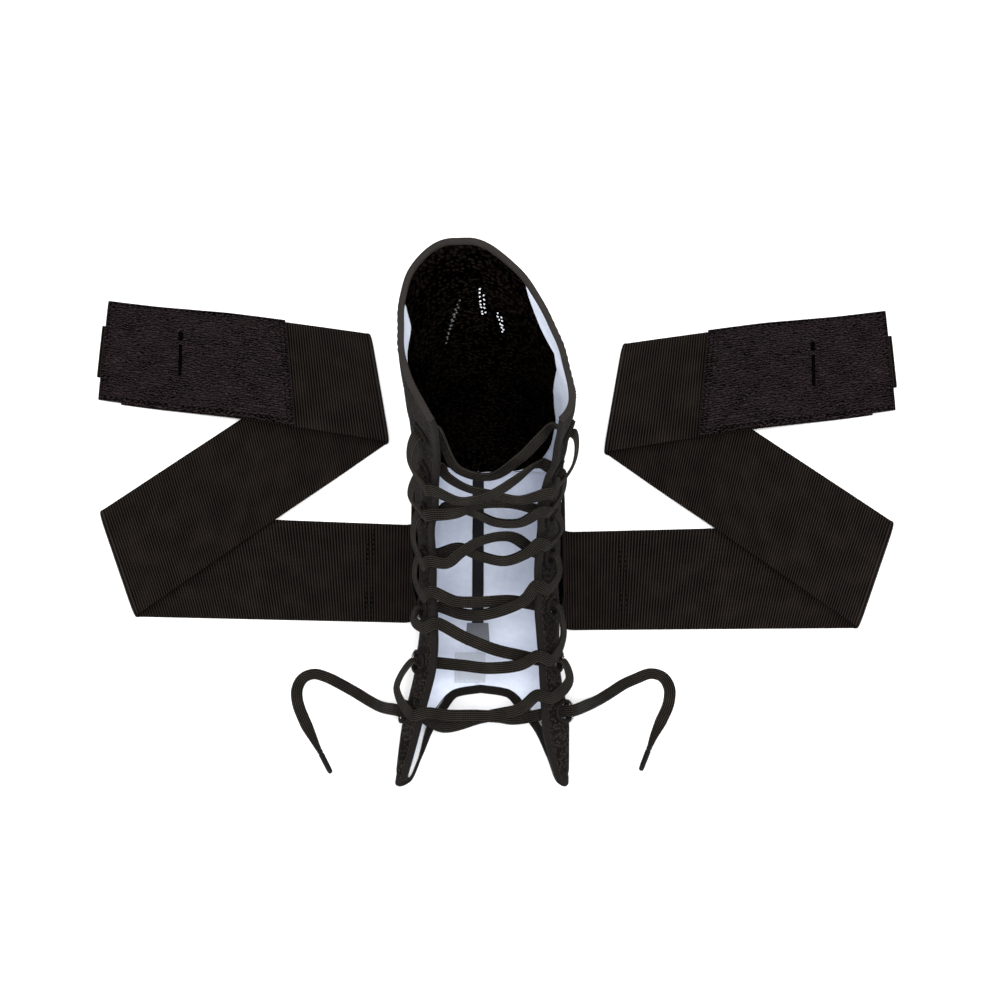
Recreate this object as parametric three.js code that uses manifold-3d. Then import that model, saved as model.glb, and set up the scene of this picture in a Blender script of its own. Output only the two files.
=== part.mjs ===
// A lace-up ankle brace that stands on its sole, with its straps folded on the floor at its sides.
// Millimetres, +Z up. The origin is on the sole's underside below the ankle, toes towards -Y.
import * as THREE from 'three';
import Module from 'manifold-3d';
import { mergeVertices } from 'three/addons/utils/BufferGeometryUtils.js';

// Driving sizes of the brace
const HEIGHT = 190;
const LENGTH = 150;
const WIDTH = 67;
const PANEL = 2.0;
const LINING = 0.8;
const GAP = 0.3;
const BINDING_WIDTH = 3.5;
const BINDING_PROUD = 0.35;
const BINDING_CLEAR = 0.8;
const SEAM_X = -4;
const TAPE_WIDTH = 5;
const TAPE_WIDE = 10.5;
const TAPE_THICK = 0.6;
const LABEL_SIZE = [13, 14];
const LABEL_THICK = 0.5;
const CURL = 2.2;

// Driving sizes of the lacing
const EYELETS = 7;
const EYELET_FIRST = 29;
const EYELET_PITCH = 22.4;
const EYELET_INSET = 11.5;
const HOLE_RADIUS = 3.4;
const EYELET_RIM = 1.6;
const EYELET_THICK = 0.8;
const EYELET_SEAT = 0.45;
const EYELET_HIGH = EYELET_SEAT + EYELET_THICK;
const RING_SIDES = 10;
const LACE_WIDTH = 5;
const LACE_THICK = 1.2;
const LACE_CLEAR = 1.6;
const TURN_RADIUS = 3;
const AGLET_LENGTH = 12;
const AGLET_RADIUS = 1.5;

// Driving sizes of the straps
const STRAP_AXIS = 4;
const STRAP_WIDTH = 50;
const STRAP_THICK = 1.4;
const STRAP_ROOT = 38;
const STRAP_BEND = 6;
const FOLD_RADIUS = 1.7;
const PATCH_THICK = 1.6;
const PATCH_START = 0.31;
const PATCH_OVERLAP = 10;
const TAB_WIDTH = 26;
const TAB_REACH = 2;
const TAB_THICK = 1.2;

// Sections from the toe tips round the heel to the collar. Forward places are shares of LENGTH, heights
// of HEIGHT, and half widths of WIDTH. The spine is the underside, heel and back; the front is the laced edge.
const SECTION_COLUMNS = [
  'spineY', 'spineZ', 'frontY', 'frontZ', 'left', 'right', 'gapLeft',
  'gapRight', 'flat', 'widestLeft', 'widestRight', 'lean', 'slack',
];
const SECTIONS = [
  [-0.64, 0, -0.637, 0.045, 0.57, 0.51, 0.5, 0.43, 0.43, 0.6, 0.6, 0, 1],
  [-0.493, 0, -0.493, 0.11, 0.53, 0.515, 0.4, 0.345, 0.4, 0.6, 0.6, 0, 1],
  [-0.333, 0, -0.34, 0.2, 0.448, 0.463, 0.312, 0.332, 0.36, 0.55, 0.55, 0, 1],
  [-0.147, 0, -0.213, 0.284, 0.418, 0.455, 0.326, 0.312, 0.33, 0.5, 0.5, 0, 1],
  [0.053, 0, -0.13, 0.39, 0.433, 0.463, 0.337, 0.324, 0.31, 0.45, 0.45, 0, 1],
  [0.24, 0.006, -0.103, 0.484, 0.448, 0.47, 0.317, 0.333, 0.28, 0.42, 0.42, 0, 1],
  [0.347, 0.079, -0.093, 0.537, 0.455, 0.478, 0.306, 0.343, 0.19, 0.42, 0.42, 0, 1],
  [0.377, 0.21, -0.083, 0.59, 0.463, 0.485, 0.297, 0.364, 0.12, 0.42, 0.45, 0, 1],
  [0.347, 0.41, -0.073, 0.653, 0.463, 0.5, 0.287, 0.414, 0.075, 0.42, 0.52, -0.02, 1],
  [0.317, 0.605, -0.077, 0.726, 0.478, 0.51, 0.288, 0.425, 0.07, 0.42, 0.62, -0.06, 1.05],
  [0.313, 0.8, -0.097, 0.8, 0.493, 0.515, 0.291, 0.433, 0.06, 0.43, 0.75, -0.11, 1.15],
  [0.333, 1, -0.11, 0.868, 0.5, 0.5, 0.313, 0.434, 0.045, 0.45, 0.88, -0.14, 1.22],
];
const TOP = SECTIONS.length - 1;

// The sole's arched front edge: the section station where it crosses each share of the half section
const TOE_EDGE = [
  { across: 0, station: 1.95 },
  { across: 0.154, station: 1.88 },
  { across: 0.24, station: 1.63 },
  { across: 0.345, station: 1.33 },
  { across: 0.48, station: 1 },
  { across: 0.66, station: 0.47 },
  { across: 0.8, station: 0.1 },
  { across: 1, station: 0 },
];
const ARCH_LEAN = -0.04;

// The dark back piece reaches this share of the half section at each station above its rounded foot
const BACK_FOOT = { low: 6, high: 8.6, share: 0.41 };
const BACK_EDGE = [
  { station: 8.6, left: 0.41, right: 0.41 },
  { station: 9.3, left: 0.44, right: 0.42 },
  { station: 10.2, left: 0.45, right: 0.31 },
  { station: TOP, left: 0.45, right: 0.2 },
];
const TOE_ROWS = 5;
const TOE_TOP = 2.2;
const SOLE_STATIONS = [2.2, 2.8, 3.4, 4, 4.5, 5, 5.5, 6];
const FOOT_ANGLES = [18, 36, 54, 72, 90];
const BACK_STATIONS = [9.2, 9.8, 10.4, TOP];
const PANEL_COLUMNS = 8;
const BACK_COLUMNS = 8;

// Strap lines in plan: distance out from the straps' middle plane, place along Y, tilt from Y, length
const STRAP_LINES = {
  root: { out: 38, y: 6.6, tilt: 0, length: 0.97 },
  foldOuter: { out: 163.6, y: 11, tilt: 20.5, length: 1.1 },
  foldInner: { out: 55, y: 101, tilt: 9.5, length: 1.17 },
  end: { out: 180, y: 122, tilt: -0.6, length: 1.08 },
};
const RIGHT_SHIFT = -5.5;
const RIGHT_ROOT_SHIFT = -3.6;

// Height of the strap's middle above its lowest place, as shares of the fold's diameter, along each run
const RUN_HEIGHTS = {
  second: [1, 0.86, 0.68, 0.45, 0.1, 0],
  third: [1, 1.08, 1.1, 1.05, 0.6, 0.15, 0],
};

// One interpolated value of a table's column, smooth and without overshoot
function along(places, values, at) {
  const last = places.length - 1;
  const step = places.slice(1).map((place, i) => place - places[i]);
  const rise = step.map((size, i) => (values[i + 1] - values[i]) / size);
  const slope = places.map((_, i) => {
    if (i === 0) return rise[0];
    if (i === last) return rise[last - 1];
    if (rise[i - 1] * rise[i] <= 0) return 0;
    const before = 2 * step[i] + step[i - 1];
    const after = step[i] + 2 * step[i - 1];
    return (before + after) / (before / rise[i - 1] + after / rise[i]);
  });
  if (at <= places[0]) return values[0] + slope[0] * (at - places[0]);
  if (at >= places[last]) return values[last] + slope[last] * (at - places[last]);
  const i = places.findIndex((place) => at < place) - 1;
  const t = (at - places[i]) / step[i];
  const far = t * t * (3 - 2 * t);
  const bend = t * (1 - t) * step[i];
  return (1 - far) * values[i] + far * values[i + 1] + bend * ((1 - t) * slope[i] - t * slope[i + 1]);
}

const STATIONS = SECTIONS.map((_, i) => i);
const COLUMNS = Object.fromEntries(SECTION_COLUMNS.map((key, i) => [key, SECTIONS.map((row) => row[i])]));

function column(key, station) {
  return along(STATIONS, COLUMNS[key], station);
}

// One half of a section: side is -1 for the left, 1 for the right
function halfSection(station, side) {
  const spine = new THREE.Vector3(0, column('spineY', station) * LENGTH, column('spineZ', station) * HEIGHT);
  const front = new THREE.Vector3(0, column('frontY', station) * LENGTH, column('frontZ', station) * HEIGHT);
  const inward = front.clone().sub(spine);
  return {
    side,
    spine,
    depth: inward.length(),
    inward: inward.normalize(),
    half: column(side < 0 ? 'left' : 'right', station) * WIDTH,
    gap: column(side < 0 ? 'gapLeft' : 'gapRight', station) * WIDTH,
    flat: column('flat', station) * WIDTH,
    widest: column(side < 0 ? 'widestLeft' : 'widestRight', station),
    lean: column('lean', station) * WIDTH,
    slack: side < 0 ? 1 : column('slack', station),
  };
}

// A point of a half section: stage 0 to 1 is its flat, 1 to 2 the turn to its widest, 2 to 3 the flap
function sectionPoint(half, stage) {
  let out;
  let deep;
  let lean = half.lean;
  if (stage <= 1) {
    out = half.flat * stage;
    deep = 0;
  } else if (stage <= 2) {
    const angle = ((stage - 1) * Math.PI) / 2;
    out = half.flat + (half.half - half.flat) * Math.sin(angle) ** half.slack;
    deep = half.widest * half.depth * (1 - Math.max(0, Math.cos(angle)) ** half.slack);
    lean *= 1 - Math.sin(angle);
  } else {
    const t = stage - 2;
    out = half.half - (half.half - half.gap) * t ** CURL;
    deep = half.depth * (half.widest + (1 - half.widest) * t);
    lean = 0;
  }
  const point = half.spine.clone().addScaledVector(half.inward, deep);
  point.x += half.side * out + lean;
  return point;
}

const STAGE_STEPS = 48;
const measured = new Map();

// A half section with the running length at equal steps of its stage
function measuredHalf(station, side) {
  const key = `${station.toFixed(6)} ${side}`;
  if (!measured.has(key)) {
    const half = halfSection(station, side);
    const lengths = [0];
    let before = sectionPoint(half, 0);
    for (let i = 1; i <= STAGE_STEPS; i += 1) {
      const point = sectionPoint(half, (3 * i) / STAGE_STEPS);
      lengths.push(lengths[i - 1] + point.distanceTo(before));
      before = point;
    }
    measured.set(key, { half, lengths, total: lengths[STAGE_STEPS] });
  }
  return measured.get(key);
}

// The outer surface: share runs from -1, the left laced edge, through 0, the spine, to 1, the right edge
function surface(station, share) {
  const side = share < 0 ? -1 : 1;
  const { half, lengths, total } = measuredHalf(station, side);
  const length = Math.min(Math.abs(share), 1) * total;
  let i = lengths.findIndex((value) => value >= length);
  i = Math.max(1, i);
  const t = (length - lengths[i - 1]) / (lengths[i] - lengths[i - 1]);
  const point = sectionPoint(half, (3 * (i - 1 + t)) / STAGE_STEPS);
  if (Math.abs(share) > 1) {
    const edge = sectionPoint(half, 3);
    const beyond = edge.clone().sub(sectionPoint(half, 2.97)).normalize();
    return edge.addScaledVector(beyond, (Math.abs(share) - 1) * total);
  }
  return point;
}

// Place, tangents and outward normal on the outer surface
function surfaceFrame(station, share) {
  const small = 0.002;
  const onward = surface(station + small, share).sub(surface(station - small, share)).divideScalar(2 * small);
  const across = surface(station, share + small).sub(surface(station, share - small)).divideScalar(2 * small);
  const normal = onward.clone().cross(across).normalize();
  return { place: surface(station, share), onward, across, normal };
}

function toeStation(share) {
  const shifted = Math.abs(share - ARCH_LEAN * (1 - Math.abs(share)));
  return along(TOE_EDGE.map((row) => row.across), TOE_EDGE.map((row) => row.station), shifted);
}

// The back piece's edge at a station above its rounded foot
function backShare(station, side) {
  const values = BACK_EDGE.map((row) => (side < 0 ? row.left : row.right));
  return along(BACK_EDGE.map((row) => row.station), values, station);
}

// A closed mesh from corners and faces, turned so that its faces point out
function closedGeometry(corners, faces) {
  let volume = 0;
  for (const [a, b, c] of faces) {
    volume += corners[a].dot(corners[b].clone().cross(corners[c]));
  }
  const turned = volume < 0 ? faces.map(([a, b, c]) => [a, c, b]) : faces;
  const geometry = new THREE.BufferGeometry();
  geometry.setAttribute('position', new THREE.Float32BufferAttribute(corners.flatMap((p) => p.toArray()), 3));
  geometry.setIndex(turned.flat());
  return geometry;
}

// A wall between two depths below the outer surface, over a grid of surface parameters
function wallGeometry(grid, shallow, deep) {
  const rows = grid.length;
  const columns = grid[0].length;
  const corners = [];
  for (const row of grid) {
    for (const [station, share] of row) {
      const { place, normal } = surfaceFrame(station, share);
      corners.push(place.clone().addScaledVector(normal, -shallow), place.clone().addScaledVector(normal, -deep));
    }
  }
  const at = (i, j, layer) => 2 * (i * columns + j) + layer;
  const faces = [];
  const quad = (a, b, c, d) => faces.push([a, b, c], [a, c, d]);
  for (let i = 0; i + 1 < rows; i += 1) {
    for (let j = 0; j + 1 < columns; j += 1) {
      quad(at(i, j, 0), at(i, j + 1, 0), at(i + 1, j + 1, 0), at(i + 1, j, 0));
      quad(at(i, j, 1), at(i + 1, j, 1), at(i + 1, j + 1, 1), at(i, j + 1, 1));
    }
    quad(at(i, 0, 0), at(i + 1, 0, 0), at(i + 1, 0, 1), at(i, 0, 1));
    quad(at(i + 1, columns - 1, 0), at(i, columns - 1, 0), at(i, columns - 1, 1), at(i + 1, columns - 1, 1));
  }
  for (let j = 0; j + 1 < columns; j += 1) {
    quad(at(0, j + 1, 0), at(0, j, 0), at(0, j, 1), at(0, j + 1, 1));
    quad(at(rows - 1, j, 0), at(rows - 1, j + 1, 0), at(rows - 1, j + 1, 1), at(rows - 1, j, 1));
  }
  return closedGeometry(corners, faces);
}

// A bar through rings of corners, closed by a fan at each end
function barGeometry(rings) {
  const sides = rings[0].length;
  const corners = rings.flat();
  const faces = [];
  for (let i = 0; i + 1 < rings.length; i += 1) {
    for (let j = 0; j < sides; j += 1) {
      const a = i * sides + j;
      const b = i * sides + ((j + 1) % sides);
      faces.push([a, b, b + sides], [a, b + sides, a + sides]);
    }
  }
  const far = (rings.length - 1) * sides;
  for (let j = 1; j + 1 < sides; j += 1) {
    faces.push([0, j + 1, j], [far, far + j, far + j + 1]);
  }
  return closedGeometry(corners, faces);
}

// A flat bar that follows frames of a place, a half width and a half thickness
function ribbonGeometry(frames) {
  return barGeometry(frames.map(({ place, wide, thick }) => [
    place.clone().add(wide).add(thick),
    place.clone().sub(wide).add(thick),
    place.clone().sub(wide).sub(thick),
    place.clone().add(wide).sub(thick),
  ]));
}

function spread(from, to, count) {
  return Array.from({ length: count + 1 }, (_, i) => from + ((to - from) * i) / count);
}

const EDGE_INSET = BINDING_WIDTH + BINDING_CLEAR;

// The share where a wall stops short of the laced edge, to leave room for the binding
function flapShare(station, inset) {
  return 1 - inset / measuredHalf(station, 1).total;
}

// The station at a depth below the collar's edge
function belowCollar(share, inset) {
  const { onward, across } = surfaceFrame(TOP, share * 0.999);
  const run = across.normalize();
  return TOP - inset / onward.addScaledVector(run, -onward.dot(run)).length();
}

// The surface parameters a small step away from a place on the surface
function steppedFrom(station, share, step) {
  const { onward, across } = surfaceFrame(station, share);
  const a = onward.dot(onward);
  const b = onward.dot(across);
  const c = across.dot(across);
  const p = step.dot(onward);
  const q = step.dot(across);
  const size = a * c - b * b;
  return [station + (c * p - b * q) / size, share + (a * q - b * p) / size];
}

// The way into the wall at the toe edge
function intoToe(share) {
  const small = 0.01;
  const { onward, normal } = surfaceFrame(toeStation(share), share);
  const run = surface(toeStation(share + small), share + small);
  run.sub(surface(toeStation(share - small), share - small));
  const into = run.cross(normal).normalize();
  return into.dot(onward) < 0 ? into.negate() : into;
}

// The surface parameters that lie inside the toe edge by some distance
function toeInset(share, inset) {
  return steppedFrom(toeStation(share), share, intoToe(share).multiplyScalar(inset));
}

const TIP_SHARE = 0.92;
const PANEL_TIP_SHARE = 0.84;

// The share of the sole's seam, counted towards a side
function seamShare(station, side) {
  const seam = SEAM_X + (side * GAP) / 2;
  return (side * seam) / measuredHalf(station, Math.sign(seam)).total;
}

function toeShares(side) {
  return spread(seamShare(TOE_TOP, side), PANEL_TIP_SHARE, PANEL_COLUMNS).map((share) => side * share);
}

// The grid of one side wall, from the seam under the sole and the back piece's edge to the laced edge
function sideGrid(side) {
  const rowShares = (station, low) => spread(low, flapShare(station, EDGE_INSET), PANEL_COLUMNS);
  const grid = [];
  const above = rowShares(TOE_TOP, seamShare(TOE_TOP, side));
  const low = toeShares(side).map((share) => toeInset(share, EDGE_INSET));
  for (let i = 0; i < TOE_ROWS; i += 1) {
    const t = i / TOE_ROWS;
    grid.push(low.map(([station, share], j) => [
      station + (TOE_TOP - station) * t,
      share + (side * above[j] - share) * t,
    ]));
  }
  for (const station of SOLE_STATIONS) {
    grid.push(rowShares(station, seamShare(station, side)).map((share) => [station, side * share]));
  }
  const clear = (station) => GAP / measuredHalf(station, side).total;
  for (const degrees of FOOT_ANGLES) {
    const angle = THREE.MathUtils.degToRad(degrees);
    const station = BACK_FOOT.high - (BACK_FOOT.high - BACK_FOOT.low) * Math.cos(angle);
    const edge = BACK_FOOT.share * Math.sin(angle) + clear(station);
    grid.push(rowShares(station, edge).map((share) => [station, side * share]));
  }
  for (const station of BACK_STATIONS) {
    const shares = rowShares(station, backShare(station, side) + clear(station)).map((share) => side * share);
    grid.push(shares.map((share) => [station === TOP ? belowCollar(share, EDGE_INSET) : station, share]));
  }
  return grid;
}

function backGrid() {
  const rows = FOOT_ANGLES.map((degrees) => {
    const angle = THREE.MathUtils.degToRad(degrees);
    const reach = BACK_FOOT.share * Math.sin(angle);
    return [BACK_FOOT.high - (BACK_FOOT.high - BACK_FOOT.low) * Math.cos(angle), reach, reach];
  });
  for (const station of BACK_STATIONS) {
    rows.push([station, backShare(station, -1), backShare(station, 1)]);
  }
  return rows.map(([station, left, right]) => {
    const clear = GAP / measuredHalf(station, 1).total;
    const shares = spread(clear - left, right - clear, BACK_COLUMNS);
    return shares.map((share) => [station === TOP ? belowCollar(share, EDGE_INSET) : station, share]);
  });
}

const STACK = PANEL + GAP + LINING;

// A binding along an edge of the wall, between surface frames on the edge and inside it
function bindingGeometry(pairs, proud) {
  const face = ({ place, normal }, depth) => place.clone().addScaledVector(normal, -depth);
  const deep = STACK + BINDING_PROUD;
  return barGeometry(pairs.map(([edge, within]) => {
    return [face(edge, -proud), face(edge, deep), face(within, deep), face(within, -proud)];
  }));
}

function flapBindingPairs(grid, side) {
  return grid.map((row) => {
    const [station] = row[PANEL_COLUMNS];
    return [surfaceFrame(station, side), surfaceFrame(station, side * flapShare(station, BINDING_WIDTH))];
  });
}

function collarBindingPairs(shares) {
  return [-1, ...shares, 1].map((share) => {
    return [surfaceFrame(TOP, share * 0.999), surfaceFrame(belowCollar(share, BINDING_WIDTH), share * 0.999)];
  });
}

function toeBindingPairs() {
  const tip = (PANEL_TIP_SHARE + TIP_SHARE) / 2;
  return [-TIP_SHARE, -tip, ...toeShares(-1).reverse(), ...toeShares(1), tip, TIP_SHARE].map((share) => {
    return [surfaceFrame(toeStation(share), share), surfaceFrame(...toeInset(share, BINDING_WIDTH))];
  });
}

// The running length of a laced edge from the collar, at equal steps down to the toe
function edgeLengths(side) {
  const stations = spread(TOP, 0, 200);
  const lengths = [0];
  for (let i = 1; i < stations.length; i += 1) {
    lengths.push(lengths[i - 1] + surface(stations[i], side).distanceTo(surface(stations[i - 1], side)));
  }
  return { stations, lengths };
}

// The centre of a lace hole, counted from the collar
function eyeletFrame(side, number) {
  const { stations, lengths } = edgeLengths(side);
  const reach = EYELET_FIRST + (number - 1) * EYELET_PITCH;
  const i = lengths.findIndex((value) => value >= reach);
  const t = (reach - lengths[i - 1]) / (lengths[i] - lengths[i - 1]);
  const station = stations[i - 1] + t * (stations[i] - stations[i - 1]);
  const share = side * (1 - EYELET_INSET / measuredHalf(station, side).total);
  return { station, share, ...surfaceFrame(station, share) };
}

const eyeletFrames = new Map();
for (const side of [-1, 1]) {
  for (let number = 1; number <= EYELETS; number += 1) {
    eyeletFrames.set(`${side} ${number}`, eyeletFrame(side, number));
  }
}

// A ring round a lace hole, which follows the surface under it
function eyeletGeometry({ station, share, onward, normal }) {
  const first = onward.clone().normalize();
  const second = normal.clone().cross(first);
  const outer = HOLE_RADIUS + EYELET_RIM;
  const profile = [[HOLE_RADIUS, EYELET_SEAT], [outer, EYELET_SEAT], [outer - 0.3, EYELET_HIGH], [HOLE_RADIUS, EYELET_HIGH]];
  const corners = [];
  for (let i = 0; i < RING_SIDES; i += 1) {
    const angle = (2 * Math.PI * i) / RING_SIDES;
    for (const [radius, lift] of profile) {
      const step = first.clone().multiplyScalar(radius * Math.cos(angle));
      step.addScaledVector(second, radius * Math.sin(angle));
      const under = surfaceFrame(...steppedFrom(station, share, step));
      corners.push(under.place.addScaledVector(under.normal, lift));
    }
  }
  const sides = profile.length;
  const faces = [];
  for (let i = 0; i < corners.length; i += 1) {
    const ring = Math.floor(i / sides) * sides;
    const beside = ring + ((i + 1) % sides);
    const far = (i + sides) % corners.length;
    const farBeside = (beside + sides) % corners.length;
    faces.push([i, beside, farBeside], [i, farBeside, far]);
  }
  return closedGeometry(corners, faces);
}

const wasm = await Module();
wasm.setup();

function toManifold(geometry) {
  const bare = geometry.clone();
  bare.deleteAttribute('normal');
  bare.deleteAttribute('uv');
  const merged = mergeVertices(bare, 1e-4);
  return new wasm.Manifold(new wasm.Mesh({
    numProp: 3,
    vertProperties: new Float32Array(merged.attributes.position.array),
    triVerts: new Uint32Array(merged.index.array),
  }));
}

function fromManifold(solid) {
  const mesh = solid.getMesh();
  const geometry = new THREE.BufferGeometry();
  geometry.setAttribute('position', new THREE.BufferAttribute(mesh.vertProperties, 3));
  geometry.setIndex(new THREE.BufferAttribute(mesh.triVerts, 1));
  return geometry;
}

// A wall with the lace holes of its side punched through
function punched(geometry, side) {
  let wall = toManifold(geometry);
  for (let number = 1; number <= EYELETS; number += 1) {
    const { place, normal } = eyeletFrames.get(`${side} ${number}`);
    const punch = new THREE.CylinderGeometry(HOLE_RADIUS, HOLE_RADIUS, 6 * STACK, 8);
    punch.applyQuaternion(new THREE.Quaternion().setFromUnitVectors(new THREE.Vector3(0, 1, 0), normal));
    punch.translate(place.x, place.y, place.z);
    wall = wall.subtract(toManifold(punch));
  }
  return fromManifold(wall);
}

// The ends of a strap line in plan, outer one first in Y
function strapLine(name, side) {
  const { out, y, tilt, length } = STRAP_LINES[name];
  const shift = name === 'root' ? RIGHT_ROOT_SHIFT : RIGHT_SHIFT;
  const middle = new THREE.Vector3(STRAP_AXIS + side * out, side > 0 ? y + shift : y, 0);
  const angle = THREE.MathUtils.degToRad(tilt);
  const reach = (length * STRAP_WIDTH) / 2;
  return { middle, half: new THREE.Vector3(side * Math.sin(angle), Math.cos(angle), 0).multiplyScalar(reach) };
}

const UP = new THREE.Vector3(0, 0, 1);
const STRAP_LOW = STRAP_THICK / 2;

// Ribbon frames along one run of a strap between two lines, at heights above the floor
function runFrames(from, to, heights, first, last) {
  const frames = [];
  for (let i = first; i <= last; i += 1) {
    const t = i / (heights.length - 1);
    const place = from.middle.clone().lerp(to.middle, t);
    place.z = STRAP_LOW + heights[i] * 2 * FOLD_RADIUS;
    frames.push({ place, wide: from.half.clone().lerp(to.half, t), thick: UP.clone().multiplyScalar(STRAP_LOW) });
  }
  return frames;
}

// Ribbon frames round a fold, from the lower layer up to the upper one
function foldFrames(line, low, outward) {
  const away = line.half.clone().cross(UP).normalize();
  if (away.dot(outward) < 0) away.negate();
  return [0, 36, 72, 108, 144, 180].map((degrees) => {
    const angle = THREE.MathUtils.degToRad(degrees);
    const spoke = away.clone().multiplyScalar(Math.sin(angle)).addScaledVector(UP, -Math.cos(angle));
    const place = line.middle.clone().addScaledVector(spoke, FOLD_RADIUS);
    place.z += low + FOLD_RADIUS;
    return { place, wide: line.half.clone(), thick: spoke.multiplyScalar(-STRAP_LOW) };
  });
}

// A strap frame with its faces swapped, for a run that lies upside down
function overturned(frame) {
  return { ...frame, thick: frame.thick.clone().negate() };
}

// How far the wall reaches out beside the strap's root at a height
function wallReach(side, height) {
  let reach = 0;
  for (const station of spread(2.9, 5.2, 10)) {
    for (const share of spread(0.3, 0.95, 30)) {
      const point = surface(station, side * share);
      if (Math.abs(point.z - height) < 3) reach = Math.max(reach, side * point.x);
    }
  }
  return reach;
}

// The strap's root, from its top on the wall down to the floor
function rootFrames(side) {
  const line = strapLine('root', side);
  const widest = wallReach(side, STRAP_ROOT * 0.7);
  const spots = [STRAP_ROOT, 0.75 * STRAP_ROOT, 0.5 * STRAP_ROOT].map((height) => [wallReach(side, height), height]);
  const beside = GAP + STRAP_LOW;
  const path = spots.map(([reach, height]) => [Math.max(reach, widest - 0.6) + beside, height]);
  const foot = path[path.length - 1][0];
  for (const degrees of [0, 30, 60, 90]) {
    const angle = THREE.MathUtils.degToRad(degrees);
    path.push([foot + STRAP_BEND * (1 - Math.cos(angle)), STRAP_LOW + STRAP_BEND * (1 - Math.sin(angle))]);
  }
  return path.map(([out, height], i) => {
    const before = path[Math.max(0, i - 1)];
    const after = path[Math.min(path.length - 1, i + 1)];
    const run = new THREE.Vector3(side * (after[0] - before[0]), 0, after[1] - before[1]).normalize();
    const thick = run.clone().cross(line.half).normalize().multiplyScalar(STRAP_LOW);
    if (side * thick.x + thick.z < 0) thick.negate();
    return { place: new THREE.Vector3(side * out, line.middle.y, height), wide: line.half.clone(), thick };
  });
}

const THIRD_ROWS = RUN_HEIGHTS.third.length - 1;

// The third run of a strap and the pieces on its end
function thirdRun(side) {
  const inner = strapLine('foldInner', side);
  const end = strapLine('end', side);
  const length = end.middle.distanceTo(inner.middle);
  const whole = runFrames(inner, end, RUN_HEIGHTS.third, 0, THIRD_ROWS);
  const place = (t) => {
    const heights = whole.map((frame) => frame.place.z);
    const middle = inner.middle.clone().lerp(end.middle, t);
    middle.z = along(heights.map((_, i) => i / THIRD_ROWS), heights, Math.min(t, 1));
    return { place: middle, wide: inner.half.clone().lerp(end.half, t), thick: UP.clone().multiplyScalar(STRAP_LOW) };
  };
  return { length, place };
}

function strapGeometry(side) {
  const outward = new THREE.Vector3(side, 0, 0);
  const outer = strapLine('foldOuter', side);
  const inner = strapLine('foldInner', side);
  const third = thirdRun(side);
  const stop = 1 - PATCH_OVERLAP / third.length;
  return ribbonGeometry([
    ...rootFrames(side),
    ...foldFrames(outer, STRAP_LOW, outward),
    ...runFrames(outer, inner, RUN_HEIGHTS.second, 1, RUN_HEIGHTS.second.length - 2).map(overturned),
    ...foldFrames(inner, STRAP_LOW, outward.clone().negate()).map(overturned),
    ...spread(0, stop, 8).slice(1).map(third.place),
  ]);
}

function raised(frame, lift, widthScale, thick) {
  const place = frame.place.clone();
  place.z += lift;
  return {
    place,
    wide: frame.wide.clone().multiplyScalar(widthScale),
    thick: UP.clone().multiplyScalar(thick / 2),
  };
}

function patchGeometry(side) {
  const third = thirdRun(side);
  const lift = STRAP_LOW + GAP + PATCH_THICK / 2;
  return ribbonGeometry(spread(PATCH_START, 1, 8).map((t) => raised(third.place(t), lift, 1, PATCH_THICK)));
}

function tabGeometry(side) {
  const third = thirdRun(side);
  const start = 1 - (PATCH_OVERLAP - GAP) / third.length;
  const stop = 1 + TAB_REACH / third.length;
  const narrow = TAB_WIDTH / STRAP_WIDTH;
  const drop = (TAB_THICK - STRAP_THICK) / 2;
  return ribbonGeometry([start, stop].map((t) => raised(third.place(t), drop, narrow, TAB_THICK)));
}

// A flat strip on the lining above the sole, through places of a middle and a half width
function soleStrip(rows, thick) {
  const height = STACK + GAP + thick / 2;
  return ribbonGeometry(rows.map(({ x, y, half }) => ({
    place: new THREE.Vector3(x, y, height),
    wide: new THREE.Vector3(half, 0, 0),
    thick: UP.clone().multiplyScalar(thick / 2),
  })));
}

const TAPE_ROWS = [
  { x: SEAM_X, y: 0.13 * LENGTH, half: TAPE_WIDTH / 2 },
  { x: SEAM_X, y: -0.12 * LENGTH, half: TAPE_WIDTH / 2 },
  { x: SEAM_X, y: -0.13 * LENGTH, half: TAPE_WIDE / 2 },
  { x: SEAM_X, y: -0.195 * LENGTH, half: TAPE_WIDE / 2 },
];

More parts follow.
